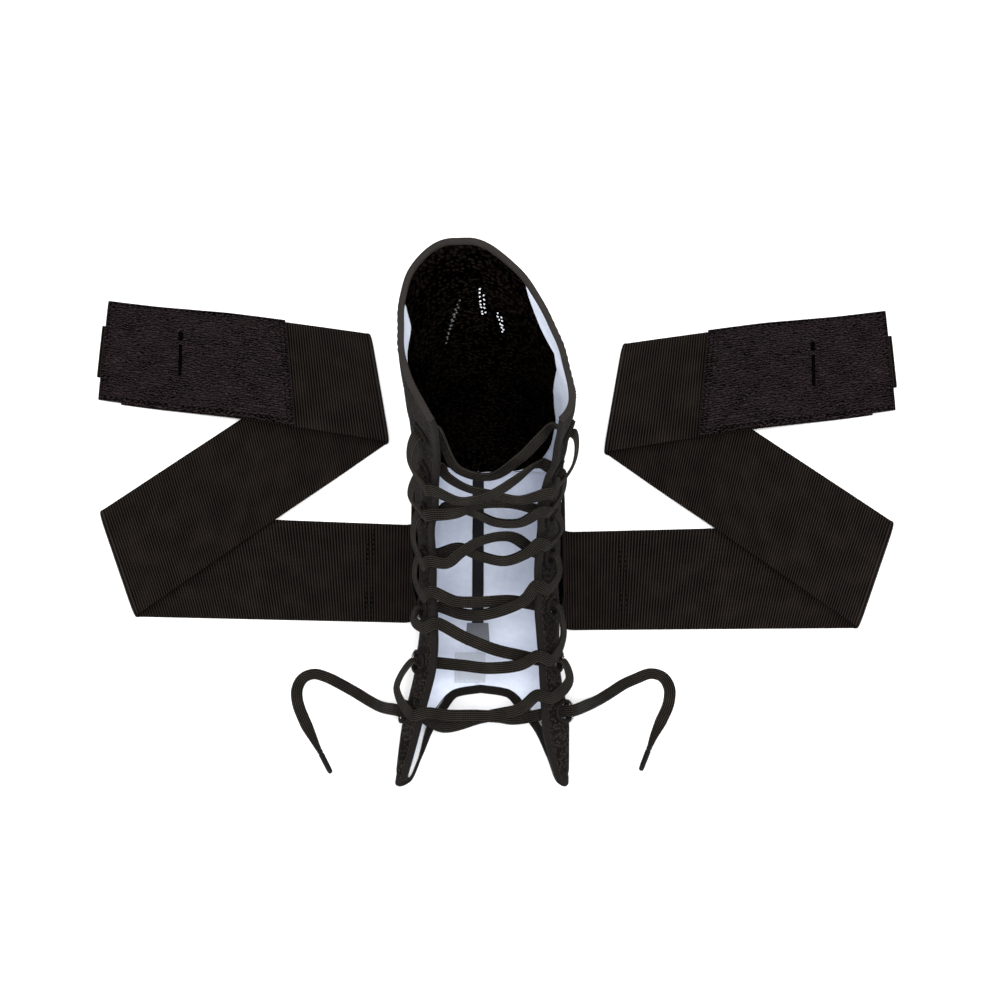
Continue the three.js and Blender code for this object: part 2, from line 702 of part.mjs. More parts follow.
// The lace's strands, chosen by hand, from the collar down. Each comes out through a hole, bows out from the wall,
// turns over the laced edge at the station `over`, and goes on to the inside of the next hole down on the other side.
// It passes places across the gap, from -1 at the left edge to 1 at the right, each with a station and a lift.
const STRANDS = {
  left: [
    { bow: 6, over: 6.62, past: [[-0.53, 6.06, 2.2], [0, 6.37, 1.6], [0.41, 6.92, -1.5], [0.73, 7.06, -7.5]] },
    { bow: 4.5, over: 5.25, past: [[0.61, 4.73, 1.5], [0.16, 4.66, 0], [-0.22, 4.79, -2.8], [-0.69, 4.75, -7.1]] },
    { bow: 5, over: 3.6, past: [[-0.71, 3.62, 2], [-0.46, 3.79, 0.5], [-0.09, 4.01, -1.5], [0.46, 3.98, -4.8]] },
    { bow: 4, over: 3.16, past: [[0.76, 2.94, 2.2], [0.37, 2.73, 0.5], [-0.12, 2.61, -1.5], [-0.51, 2.6, -5.3]] },
    { bow: 4, over: 2.47, past: [[-0.43, 2.26, 2], [0.13, 2.06, 1], [0.61, 1.92, -6.3]] },
    { bow: 4.5, over: 1.38, past: [[0.63, 1.19, 0.4], [0.29, 1.11, -0.9], [-0.04, 1.05, -1], [-0.63, 0.88, -6.5]] },
  ],
  right: [
    { bow: 5, over: 6.5, past: [[0.57, 5.98, 1], [0.01, 6.15, -0.7], [-0.47, 6.07, -4.9], [-0.81, 6.42, -8.3]] },
    { bow: 7, over: 4.95, past: [[-0.56, 5.19, 1.6], [-0.14, 5.12, -3.2], [0.41, 5.05, -4.4]] },
    { bow: 5, over: 4.07, past: [[0.75, 3.84, 2.4], [0.37, 3.65, 1.5], [-0.09, 3.67, -1.5], [-0.47, 3.74, -4.9]] },
    { bow: 4, over: 3.03, past: [[-0.59, 2.9, 2], [-0.1, 2.87, 1], [0.47, 2.81, -4.9]] },
    { bow: 4, over: 1.94, past: [[0.61, 1.84, 2.2], [0.04, 1.78, 1], [-0.49, 1.77, -5.1]] },
    { bow: 7, over: 1.11, past: [[-0.55, 1.1, 2.5], [-0.13, 1.1, 2.4], [0.26, 1.08, 2], [0.56, 1.01, -5.8]] },
  ],
};
const TOP_STRAND = [[-0.62, 6.99, -7], [0, 6.33, -8], [0.44, 7.53, -7], [0.71, 8.49, -7]];

// The free ends of the lace from their last holes: distance outwards, distance back, height of the place
const LACE_ENDS = {
  left: [
    [10.2, 6.4, 9], [15.7, 12.4, 2], [21.7, 16.9, 0.85], [28.2, 20.9, 0.85], [34.7, 24.4, 0.85], [40.2, 25.9, 0.85],
    [44.7, 23.9, 0.85], [47, 18.9, 0.85], [46.5, 12.4, 0.85], [43.3, 3.9, 0.85], [39.2, -4.6, 0.85], [36.7, -9.6, 0.9],
  ],
  right: [
    [11.2, 8.2, 9], [15.7, 13.7, 2.2], [20.7, 17.7, 0.85], [25.7, 21.2, 0.85], [31.2, 23.9, 0.85], [37.2, 26.2, 0.85],
    [42.2, 24.7, 0.85], [45, 19.7, 0.85], [44.5, 12.2, 0.85], [41.2, 4.2, 0.85], [37.7, -3.3, 0.85], [36, -7.8, 0.9],
  ],
};

function laceHole(side, number) {
  return eyeletFrames.get(`${side} ${number}`);
}

// The way the lace faces between the laced edges
function gapFace(station) {
  const small = 0.05;
  const run = surface(station + small, 1).sub(surface(station - small, 1));
  return new THREE.Vector3(0, -run.z, run.y).normalize();
}

function gapSpot([across, station, lift]) {
  const face = gapFace(station);
  const place = surface(station, -1).lerp(surface(station, 1), (across + 1) / 2);
  return { place: place.addScaledVector(face, lift), face };
}

// A spot over the wall beside the laced edge
function wallSpot(side, station, inset, lift) {
  const share = side * (1 - inset / measuredHalf(station, side).total);
  const { place, normal } = surfaceFrame(station, share);
  return { place: place.addScaledVector(normal, lift), face: normal };
}

// The spots where the lace turns over the laced edge
function turnSpots(side, station) {
  const { place, across, normal } = surfaceFrame(station, side * 0.999);
  const beyond = across.normalize().multiplyScalar(side);
  return [15, 60].map((degrees) => {
    const angle = THREE.MathUtils.degToRad(degrees);
    const face = normal.clone().multiplyScalar(Math.cos(angle)).addScaledVector(beyond, Math.sin(angle));
    const corner = place.clone().addScaledVector(normal, BINDING_PROUD);
    return { place: corner.addScaledVector(face, TURN_RADIUS), face };
  });
}

// The way along the surface from a hole towards a place
function departure({ place, normal }, towards) {
  const way = towards.clone().sub(place);
  return way.addScaledVector(normal, -way.dot(normal)).normalize();
}

// The spots from the inside of a hole to its outside
function holeSpots(hole, inner, outer) {
  return [
    { depth: -STACK - 2 * LACE_CLEAR, towards: inner },
    { depth: -STACK - 0.4 * LACE_CLEAR, towards: inner },
    { depth: EYELET_HIGH, towards: outer },
    { depth: EYELET_HIGH + LACE_CLEAR, towards: outer },
  ].map(({ depth, towards }) => ({
    place: hole.place.clone().addScaledVector(hole.normal, depth),
    face: departure(hole, towards),
  }));
}

// The spots of the lace down from the inside of a top hole to the outside of the last one below it
function laceSpots(hand, inner) {
  let side = hand === 'left' ? -1 : 1;
  let before = inner;
  const spots = [];
  STRANDS[hand].forEach(({ bow, over, past }, i) => {
    const hole = laceHole(side, i + 1);
    const loop = [
      wallSpot(side, (hole.station + over) / 2, EYELET_INSET, bow),
      wallSpot(side, over, BINDING_WIDTH, TURN_RADIUS),
    ];
    const gap = past.map(gapSpot);
    spots.push(...holeSpots(hole, before, loop[0].place), ...loop, ...turnSpots(side, over), ...gap);
    before = gap.at(-1).place;
    side = -side;
  });
  const last = laceHole(side, EYELETS);
  return [...spots, ...holeSpots(last, before, endRoute(side)[0])];
}

// The places of a free end of the lace, from beside its last hole to its tip on the floor
function endRoute(side) {
  const hole = laceHole(side, EYELETS);
  return LACE_ENDS[side < 0 ? 'left' : 'right'].map(([out, back, height]) => {
    return new THREE.Vector3(hole.place.x + side * out, hole.place.y + back, height);
  });
}

// Ribbon frames of a flat lace through spots that each have a place and a face
function laceFrames(spots, steps) {
  const curve = new THREE.CatmullRomCurve3(spots.map((spot) => spot.place), false, 'centripetal');
  const count = steps * (spots.length - 1);
  const frames = [];
  let before = spots[0].face.clone();
  for (let i = 0; i <= count; i += 1) {
    const run = curve.getTangent(i / count);
    const t = (i / count) * (spots.length - 1);
    const at = Math.min(Math.floor(t), spots.length - 2);
    before.addScaledVector(run, -before.dot(run)).normalize();
    const [first, next] = [spots[at].face, spots[at + 1].face].map((face) => {
      return face.clone().multiplyScalar(face.dot(before) < 0 ? -1 : 1);
    });
    const thick = first.lerp(next, t - at).lerp(before, 0.3);
    thick.addScaledVector(run, -thick.dot(run)).normalize();
    before = thick.clone();
    const wide = thick.clone().cross(run).multiplyScalar(LACE_WIDTH / 2);
    frames.push({ place: curve.getPoint(i / count), wide, thick: thick.multiplyScalar(LACE_THICK / 2) });
  }
  return frames;
}

function laceGeometry() {
  const top = TOP_STRAND.map(gapSpot);
  const spots = [
    ...laceSpots('left', top[0].place).reverse(),
    ...top,
    ...laceSpots('right', top.at(-1).place),
  ];
  return ribbonGeometry(laceFrames(spots, 2));
}

// The spots of a free end of the lace, which starts just outside its last hole
function endSpots(side) {
  const hole = laceHole(side, EYELETS);
  const route = endRoute(side);
  const start = EYELET_HIGH + LACE_CLEAR + GAP;
  return [
    ...[start, start + LACE_CLEAR].map((lift) => ({
      place: hole.place.clone().addScaledVector(hole.normal, lift),
      face: departure(hole, route[0]),
    })),
    ...route.map((place) => ({ place, face: UP.clone() })),
  ];
}

// The hard tip on a free end of the lace
function agletGeometry(side) {
  const route = endRoute(side).slice(-2);
  const run = route[1].clone().sub(route[0]).setZ(0).normalize();
  const wide = UP.clone().cross(run);
  return barGeometry([[GAP, 1], [0.85 * AGLET_LENGTH, 1], [AGLET_LENGTH, 0.85]].map(([reach, size]) => {
    const middle = route[1].clone().addScaledVector(run, reach).setZ(AGLET_RADIUS);
    return spread(0, 2 * Math.PI, 8).slice(1).map((angle) => middle.clone()
      .addScaledVector(wide, AGLET_RADIUS * size * Math.cos(angle))
      .addScaledVector(UP, AGLET_RADIUS * size * Math.sin(angle)));
  }));
}

const CLOTH = { panel: 0x1b1917, mesh: 0x121112, binding: 0x5a5552, lining: 0xb9c2cc, webbing: 0x1e1b18, lace: 0x28261f };

function piece(name, geometry, color, roughness) {
  const mesh = new THREE.Mesh(geometry, new THREE.MeshStandardMaterial({ color, roughness, metalness: 0 }));
  mesh.name = name;
  return mesh;
}

const brace = new THREE.Group();
const topRow = (grid) => grid[grid.length - 1].map(([, share]) => share);
const topShares = [
  ...topRow(sideGrid(-1)).reverse(),
  ...topRow(backGrid()),
  ...topRow(sideGrid(1)),
];
for (const [side, hand] of [[-1, 'left'], [1, 'right']]) {
  const grid = sideGrid(side);
  brace.add(piece(`side_panel_${hand}`, punched(wallGeometry(grid, 0, PANEL), side), CLOTH.panel, 0.9));
  brace.add(piece(`lining_${hand}`, punched(wallGeometry(grid, PANEL + GAP, STACK), side), CLOTH.lining, 0.8));
  const flapEdge = flapBindingPairs(grid, side);
  brace.add(piece(`flap_binding_${hand}`, bindingGeometry(flapEdge, BINDING_PROUD), CLOTH.binding, 0.9));
  brace.add(piece(`strap_${hand}`, strapGeometry(side), CLOTH.webbing, 0.9));
  brace.add(piece(`strap_patch_${hand}`, patchGeometry(side), CLOTH.panel, 1));
  brace.add(piece(`strap_tab_${hand}`, tabGeometry(side), CLOTH.webbing, 0.9));
  for (let number = 1; number <= EYELETS; number += 1) {
    const ring = eyeletGeometry(eyeletFrames.get(`${side} ${number}`));
    brace.add(piece(`eyelet_${hand}_${number}`, ring, CLOTH.mesh, 0.6));
  }
  brace.add(piece(`lace_end_${hand}`, ribbonGeometry(laceFrames(endSpots(side), 3)), CLOTH.lace, 0.8));
  brace.add(piece(`aglet_${hand}`, agletGeometry(side), CLOTH.mesh, 0.4));
}
brace.add(piece('back_panel', wallGeometry(backGrid(), 0, STACK), CLOTH.mesh, 0.9));
const collarEdge = collarBindingPairs(topShares);
brace.add(piece('collar_binding', bindingGeometry(collarEdge, BINDING_PROUD), CLOTH.binding, 0.9));
brace.add(piece('lace', laceGeometry(), CLOTH.lace, 0.8));
brace.add(piece('toe_binding', bindingGeometry(toeBindingPairs(), 0), CLOTH.binding, 0.9));
brace.add(piece('sole_seam_tape', soleStrip(TAPE_ROWS, TAPE_THICK), CLOTH.panel, 0.8));
brace.add(piece('sole_label', soleStrip([
  { x: -7.2, y: -0.22 * LENGTH, half: LABEL_SIZE[0] / 2 },
  { x: -7.2, y: -0.22 * LENGTH - LABEL_SIZE[1], half: LABEL_SIZE[0] / 2 },
], LABEL_THICK), 0xc9c2b6, 0.8));

export default brace;
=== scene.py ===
"""A lace-up ankle brace with its straps folded on the floor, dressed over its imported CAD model.

Sizes are in millimetres until a mesh is made, which is in metres. +Z is up and the toes point to -Y.
"""
import logging
import math
from collections.abc import Callable
from dataclasses import dataclass, field
from enum import Enum

import bpy
import numpy as np
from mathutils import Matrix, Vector


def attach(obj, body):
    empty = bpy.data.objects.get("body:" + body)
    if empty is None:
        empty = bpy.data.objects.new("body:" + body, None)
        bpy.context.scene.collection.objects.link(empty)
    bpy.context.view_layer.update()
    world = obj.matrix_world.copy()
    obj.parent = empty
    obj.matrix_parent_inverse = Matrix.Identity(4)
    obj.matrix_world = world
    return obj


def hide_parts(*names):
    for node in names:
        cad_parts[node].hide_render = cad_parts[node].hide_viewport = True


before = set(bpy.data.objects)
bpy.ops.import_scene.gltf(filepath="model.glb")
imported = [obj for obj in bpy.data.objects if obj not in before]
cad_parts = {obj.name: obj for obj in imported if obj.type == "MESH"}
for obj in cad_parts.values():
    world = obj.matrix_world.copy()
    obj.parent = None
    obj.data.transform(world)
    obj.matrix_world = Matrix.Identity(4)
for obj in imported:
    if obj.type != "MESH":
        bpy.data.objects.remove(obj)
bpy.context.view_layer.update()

LOG = logging.getLogger("brace")
MM = 0.001
SIDES = {-1: "left", 1: "right"}
UP = np.array([0.0, 0.0, 1.0])
SEED = 7
Array = np.ndarray


def along(places: Array, values: Array, at: Array) -> Array:
    """Interpolate a table's column, smoothly and without overshoot.

    Args:
        places: Where the values stand, in rising order.
        values: The column's values.
        at: Where values are wanted.

    Returns:
        The values there, straight beyond both ends.
    """
    places, values, at = (np.asarray(x, dtype=float) for x in (places, values, at))
    step = np.diff(places)
    rise = np.diff(values) / step
    before = 2 * step[1:] + step[:-1]
    after = step[1:] + 2 * step[:-1]
    level = rise[:-1] * rise[1:] <= 0
    low, high = np.where(level, 1, rise[:-1]), np.where(level, 1, rise[1:])
    middle = np.where(level, 0, (before + after) / (before / low + after / high))
    slope = np.concatenate([rise[:1], middle, rise[-1:]])
    i = np.clip(np.searchsorted(places, at, side="right") - 1, 0, len(step) - 1)
    t = (at - places[i]) / step[i]
    far = t * t * (3 - 2 * t)
    bend = t * (1 - t) * step[i] * ((1 - t) * slope[i] - t * slope[i + 1])
    inside = (1 - far) * values[i] + far * values[i + 1] + bend
    first = values[0] + slope[0] * (at - places[0])
    last = values[-1] + slope[-1] * (at - places[-1])
    return np.where(at <= places[0], first, np.where(at >= places[-1], last, inside))


def unit(vectors: Array) -> Array:
    """Scale vectors to length one."""
    return vectors / np.maximum(np.linalg.norm(vectors, axis=-1, keepdims=True), 1e-12)


def dot(a: Array, b: Array) -> Array:
    """Multiply vectors row by row into numbers that still scale vectors."""
    return np.sum(a * b, axis=-1, keepdims=True)


def running_length(points: Array) -> Array:
    """Measure the length along a line of points at each of them."""
    return np.concatenate([[0.0], np.cumsum(np.linalg.norm(np.diff(points, axis=0), axis=1))])


SECTION_COLUMNS = (
    "spine_y", "spine_z", "front_y", "front_z", "left", "right", "gap_left",
    "gap_right", "flat", "widest_left", "widest_right", "lean", "slack",
)
SECTIONS = np.array([
    [-0.64, 0, -0.637, 0.045, 0.57, 0.51, 0.5, 0.43, 0.43, 0.6, 0.6, 0, 1],
    [-0.493, 0, -0.493, 0.11, 0.53, 0.515, 0.4, 0.345, 0.4, 0.6, 0.6, 0, 1],
    [-0.333, 0, -0.34, 0.2, 0.448, 0.463, 0.312, 0.332, 0.36, 0.55, 0.55, 0, 1],
    [-0.147, 0, -0.213, 0.284, 0.418, 0.455, 0.326, 0.312, 0.33, 0.5, 0.5, 0, 1],
    [0.053, 0, -0.13, 0.39, 0.433, 0.463, 0.337, 0.324, 0.31, 0.45, 0.45, 0, 1],
    [0.24, 0.006, -0.103, 0.484, 0.448, 0.47, 0.317, 0.333, 0.28, 0.42, 0.42, 0, 1],
    [0.347, 0.079, -0.093, 0.537, 0.455, 0.478, 0.306, 0.343, 0.19, 0.42, 0.42, 0, 1],
    [0.377, 0.21, -0.083, 0.59, 0.463, 0.485, 0.297, 0.364, 0.12, 0.42, 0.45, 0, 1],
    [0.347, 0.41, -0.073, 0.653, 0.463, 0.5, 0.287, 0.414, 0.075, 0.42, 0.52, -0.02, 1],
    [0.317, 0.605, -0.077, 0.726, 0.478, 0.51, 0.288, 0.425, 0.07, 0.42, 0.62, -0.06, 1.05],
    [0.313, 0.8, -0.097, 0.8, 0.493, 0.515, 0.291, 0.433, 0.06, 0.43, 0.75, -0.11, 1.15],
    [0.333, 1, -0.11, 0.868, 0.5, 0.5, 0.313, 0.434, 0.045, 0.45, 0.88, -0.14, 1.22],
])
TOP = len(SECTIONS) - 1
TOE_ACROSS = (0, 0.154, 0.24, 0.345, 0.48, 0.66, 0.8, 1)
TOE_STATION = (1.95, 1.88, 1.63, 1.28, 0.72, 0.15, 0.02, 0)
BACK_STATION = (8.6, 9.3, 9.7, 10.02, 10.14, 10.7, TOP)
BACK_SHARE = {
    -1: (0.42, 0.51, 0.49, 0.39, 0.37, 0.4, 0.45),
    1: (0.42, 0.5, 0.545, 0.54, 0.46, 0.36, 0.34),
}


def column(key: str, station: Array) -> Array:
    """Read one column of the section table at any station."""
    return along(np.arange(TOP + 1), SECTIONS[:, SECTION_COLUMNS.index(key)], station)


@dataclass
class Places:
    """Points on the surface with its tangents and outward normals there."""

    place: Array
    onward: Array
    across: Array
    normal: Array

    def lifted(self, lift: float | Array) -> Array:
        """Return the points moved out along their normals."""
        return self.place + self.normal * lift


@dataclass
class BraceSurface:
    """The outer surface of the brace, from the toe tips round the heel to the collar."""

    height: float = 190.0
    length: float = 150.0
    width: float = 67.0
    curl: float = 2.2
    wrinkle: float = 0.45
    station_step: float = 0.02
    share_reach: float = 1.06
    share_count: int = 213
    stage_count: int = 97
    near_edge: float = 0.03
    toe_lean: float = 0.04
    small_share: float = 0.012

    def __post_init__(self) -> None:
        """Tabulate the surface once, for quick reading afterwards."""
        self.stations = np.arange(-0.3, TOP + 0.3, self.station_step)
        self.shares = np.linspace(-self.share_reach, self.share_reach, self.share_count)
        self.totals: dict[int, Array] = {}
        halves = {side: self._half(side) for side in SIDES}
        chosen = [halves[-1 if share < 0 else 1](abs(share)) for share in self.shares]
        self.points = np.stack(chosen, axis=1)
        self._derive()
        self.points = self.points + self.normals * self._wrinkles()[..., None]
        self._derive()

    def _section(self, side: int, stage: Array) -> Array:
        """Return points of the half sections, a row of stages 0 to 3 for each station."""
        s = self.stations[:, None]
        hand = SIDES[side]
        half = column(hand, s) * self.width
        gap = column(f"gap_{hand}", s) * self.width
        flat = column("flat", s) * self.width
        widest = column(f"widest_{hand}", s)
        slack = 1.0 if side < 0 else column("slack", s)
        size = np.array([0, self.length, self.height])
        spine, front = (
            np.stack([0 * s, column(f"{line}_y", s), column(f"{line}_z", s)], -1) * size
            for line in ("spine", "front"))
        depth = np.linalg.norm(front - spine, axis=-1)
        angle = np.clip(stage - 1, 0, 1) * math.pi / 2
        t = np.clip(stage - 2, 0, 1)
        bulge = (half - flat) * np.sin(angle) ** slack
        out = flat * np.minimum(stage, 1) + bulge - (half - gap) * t**self.curl
        rounded = widest * (1 - np.maximum(0, np.cos(angle)) ** slack)
        deep = depth * (rounded + (1 - widest) * t)
        point = spine + unit(front - spine) * deep[..., None]
        point[..., 0] += side * out + column("lean", s) * self.width * (1 - np.sin(angle))
        return point

    def _half(self, side: int) -> Callable[[float], Array]:
        """Measure one half and return a function from a share to its points."""
        count = self.stage_count
        stages = np.broadcast_to(np.linspace(0, 3, count), (len(self.stations), count))
        points = self._section(side, stages)
        steps = np.linalg.norm(np.diff(points, axis=1), axis=2)
        lengths = np.concatenate([np.zeros((len(points), 1)), np.cumsum(steps, axis=1)], axis=1)
        total = lengths[:, -1]
        self.totals[side] = total
        edge = self._section(side, np.full((len(total), 1), 3.0))[:, 0]
        within = self._section(side, np.full((len(total), 1), 3.0 - self.near_edge))[:, 0]
        beyond = unit(edge - within)

        def at(share: float) -> Array:
            """Return the points at a share of this half, straight on beyond its edge."""
            if share > 1:
                return edge + beyond * ((share - 1) * total)[:, None]
            stage = [np.interp(share * size, row, stages[0]) for size, row in zip(total, lengths)]
            return self._section(side, np.array(stage)[:, None])[:, 0]

        return at

    def _wrinkles(self) -> Array:
        """Return a soft, uneven lift for every tabled point, none of it on the floor."""
        x, y, z = np.moveaxis(self.points, -1, 0)
        waves = np.sin(0.11 * z + 0.16 * y + 0.6) * np.cos(0.13 * x - 0.05 * z)
        waves += 0.7 * np.sin(0.21 * z - 0.12 * y + 1.9) + 0.35 * np.sin(0.37 * y + 0.24 * z)
        return self.wrinkle * 0.6 * waves * np.clip((z - 6) / 30, 0, 1)

    def _derive(self) -> None:
        """Work out the tangents and the normals of the tabled points."""
        share_step = self.shares[1] - self.shares[0]
        self.onwards = np.gradient(self.points, self.station_step, axis=0)
        self.acrosses = np.gradient(self.points, share_step, axis=1)
        self.normals = unit(np.cross(self.onwards, self.acrosses))

    def _look(self, table: Array, station: Array, share: Array) -> Array:
        """Read a table between its rows and columns."""
        share_step = self.shares[1] - self.shares[0]
        i = np.clip((station - self.stations[0]) / self.station_step, 0, len(self.stations) - 1.001)
        j = np.clip((share - self.shares[0]) / share_step, 0, len(self.shares) - 1.001)
        a, b = i.astype(int), j.astype(int)
        u, v = (i - a)[..., None], (j - b)[..., None]
        low = table[a, b] * (1 - v) + table[a, b + 1] * v
        high = table[a + 1, b] * (1 - v) + table[a + 1, b + 1] * v
        return low * (1 - u) + high * u

    def at(self, station: Array | float, share: Array | float) -> Places:
        """Return places on the surface.

        Args:
            station: How far along the table of sections.
            share: How far round from the spine, -1 at the left laced edge and 1 at the right.

        Returns:
            The points with their tangents and normals.
        """
        station, share = np.broadcast_arrays(np.asarray(station, float), np.asarray(share, float))
        tables = (self.points, self.onwards, self.acrosses)
        place, onward, across = (self._look(table, station, share) for table in tables)
        return Places(place, onward, across, unit(np.cross(onward, across)))

    def total(self, station: Array | float, side: int) -> Array:
        """Return the length of half a section."""
        return np.interp(station, self.stations, self.totals[side])

    def edge_share(self, station: Array | float, side: int, inset: float) -> Array:
        """Return the share that lies inside the laced edge by a distance."""
        return side * (1 - inset / self.total(station, side))

    def toe_station(self, share: Array) -> Array:
        """Return the station of the arched toe edge."""
        shifted = np.abs(share + self.toe_lean * (1 - np.abs(share)))
        return along(TOE_ACROSS, TOE_STATION, shifted)

    def below_collar(self, share: Array, inset: float) -> Array:
        """Return the station at a depth below the collar's edge."""
        there = self.at(TOP, share)
        run = unit(there.across)
        down = there.onward - run * dot(there.onward, run)
        return TOP - inset / np.linalg.norm(down, axis=-1)

    def stepped(self, station: Array, share: Array, step: Array) -> tuple[Array, Array]:
        """Return the station and share a small step away from a place."""
        there = self.at(station, share)
        a, b, c = (dot(x, y)[..., 0] for x, y in (
            (there.onward, there.onward), (there.onward, there.across), (there.across, there.across)))
        p, q = dot(step, there.onward)[..., 0], dot(step, there.across)[..., 0]
        size = a * c - b * b
        return station + (c * p - b * q) / size, share + (a * q - b * p) / size

    def toe_inset(self, share: Array, inset: float | Array) -> tuple[Array, Array]:
        """Return the station and share that lie inside the toe edge by a distance."""
        small = self.small_share
        station = self.toe_station(share)
        there = self.at(station, share)
        run = self.at(self.toe_station(share + small), share + small).place
        run = run - self.at(self.toe_station(share - small), share - small).place
        into = unit(np.cross(run, there.normal))
        into = into * np.where(dot(into, there.onward) < 0, -1, 1)
        return self.stepped(station, share, into * np.reshape(inset, (-1, 1)))


@dataclass(frozen=True)
class ClothSizes:
    """Sizes that several pieces share."""

    panel: float = 1.2
    wall: float = 2.0
    stack: float = 3.1
    gap: float = 0.3
    binding: float = 3.5
    proud: float = 0.25
    seam_x: float = -4.0
    hole: float = 3.4


CLOTH = ClothSizes()


class Weave(Enum):
    """The kinds of surface that a finish can have."""

    KNIT = "knit"
    MESH = "mesh"
    RIB = "rib"
    BRAID = "braid"
    TWILL = "twill"
    BRUSHED = "brushed"
    PILE = "pile"
    SMOOTH = "smooth"


class EffectGroups:
    """Shader node groups that the finishes share, each made once."""

    made: dict[str, bpy.types.NodeTree] = {}

    @classmethod
    def group(cls, weave: Weave) -> bpy.types.NodeTree:
        """Return the group that puts out a weave's colour mask and height; the mask lightens the raised parts
        as a painted highlight.

        Args:
            weave: The kind of surface.

        Returns:
            A group with the inputs Position and Pitch and the outputs Mask and Height.
        """
        if weave.value not in cls.made:
            tree = bpy.data.node_groups.new(f"{weave.value}_effect", "ShaderNodeTree")
            face = tree.interface
            face.new_socket("Position", in_out="INPUT", socket_type="NodeSocketVector")
            pitch = face.new_socket("Pitch", in_out="INPUT", socket_type="NodeSocketFloat")
            pitch.default_value = 1.0
            face.new_socket("Mask", in_out="OUTPUT", socket_type="NodeSocketFloat")
            face.new_socket("Height", in_out="OUTPUT", socket_type="NodeSocketFloat")
            cls._fill(tree, weave)
            cls.made[weave.value] = tree
        return cls.made[weave.value]

    @classmethod
    def _fill(cls, tree: bpy.types.NodeTree, weave: Weave) -> None:
        """Put the nodes of one weave into its group."""
        nodes, links = tree.nodes, tree.links
        inside = nodes.new("NodeGroupInput")
        outside = nodes.new("NodeGroupOutput")

        def math_node(kind: str, a: object, b: object = 0.0) -> bpy.types.NodeSocket:
            """Add a number node and return its output."""
            node = nodes.new("ShaderNodeMath")
            node.operation = kind
            for socket, value in zip(node.inputs, (a, b)):
                if isinstance(value, bpy.types.NodeSocket):
                    links.new(value, socket)
                else:
                    socket.default_value = value
            return node.outputs[0]

        scaled = nodes.new("ShaderNodeVectorMath")
        scaled.operation = "SCALE"
        links.new(inside.outputs["Position"], scaled.inputs[0])
        links.new(math_node("DIVIDE", 1.0, inside.outputs["Pitch"]), scaled.inputs["Scale"])
        place = scaled.outputs[0]

        def noise(scale: float, detail: float) -> bpy.types.NodeSocket:
            """Add a noise texture on the scaled place and return its value."""
            node = nodes.new("ShaderNodeTexNoise")
            node.inputs["Scale"].default_value = scale
            node.inputs["Detail"].default_value = detail
            links.new(place, node.inputs["Vector"])
            return node.outputs[0]

        def axes() -> bpy.types.bpy_prop_collection:
            """Split the scaled place into its three axes."""
            node = nodes.new("ShaderNodeSeparateXYZ")
            links.new(place, node.inputs[0])
            return node.outputs

        def wave(axis: str, turns: float) -> bpy.types.NodeSocket:
            """Return a wave from 0 to 1 along one axis of the scaled place."""
            swing = math_node("SINE", math_node("MULTIPLY", axes()[axis], 2 * math.pi * turns))
            return math_node("MULTIPLY", math_node("ADD", swing, 1.0), 0.5)

        # Each mask follows its weave's relief. The lighter colour goes on raised knobs, ribs, strands, twill
        # ridges and pile loops as a painted highlight, mixed with random mottle. Brushed and smooth finishes
        # get random tone only.
        if weave in (Weave.KNIT, Weave.MESH):
            cells = nodes.new("ShaderNodeTexVoronoi")
            cells.feature = "F1"
            cells.inputs["Scale"].default_value = 1.0
            cells.inputs["Randomness"].default_value = 0.9
            links.new(place, cells.inputs["Vector"])
            knob = math_node("SUBTRACT", 1.0, math_node("MULTIPLY", cells.outputs["Distance"], 1.5))
            patchy = math_node("ADD", 0.35, math_node("MULTIPLY", noise(0.35, 3.0), 1.3))
            mask = math_node("MULTIPLY", math_node("POWER", math_node("MAXIMUM", knob, 0.0), 1.6), patchy)
            height = math_node("ADD", knob, math_node("MULTIPLY", noise(4.0, 2.0), 0.25))
        elif weave is Weave.RIB:
            thread = math_node("MULTIPLY", wave("X", 1.7), 0.35)
            rib = math_node("POWER", wave("Y", 1.0), 1.6)
            height = math_node("ADD", rib, thread)
            mask = math_node("MULTIPLY", rib, math_node("ADD", 0.65, thread))
        elif weave is Weave.BRAID:
            line = math_node("POWER", wave("X", 1.0), 2.0)
            cross = math_node("MULTIPLY", wave("Y", 0.8), 0.4)
            height = math_node("ADD", line, cross)
            mask = math_node("MULTIPLY", line, math_node("ADD", 0.6, cross))
        elif weave is Weave.TWILL:
            parts = axes()
            slope = math_node("ADD", parts["X"], math_node("ADD", parts["Y"], parts["Z"]))
            swing = math_node("SINE", math_node("MULTIPLY", slope, 2 * math.pi))
            height = math_node("MULTIPLY", math_node("ADD", swing, 1.0), 0.5)
            mask = height
        elif weave is Weave.PILE:
            bent = math_node("ADD", axes()["X"], math_node("MULTIPLY", noise(0.5, 2.0), 2.6))
            loop = math_node("SINE", math_node("MULTIPLY", bent, 2 * math.pi))
            height = math_node("ADD", math_node("MULTIPLY", loop, 0.3), noise(1.3, 4.0))
            mask = math_node("POWER", math_node("MAXIMUM", height, 0.0), 2.2)
        else:
            height = noise(0.8 if weave is Weave.BRUSHED else 0.3, 4.0)
            mask = height
        fleck = math_node("MULTIPLY", math_node("SUBTRACT", noise(0.11, 3.0), 0.5), 0.5)
        total = math_node("ADD", mask, fleck)
        total.node.use_clamp = True
        links.new(total, outside.inputs["Mask"])
        links.new(height, outside.inputs["Height"])


FINISHED: dict[str, bpy.types.Material] = {}


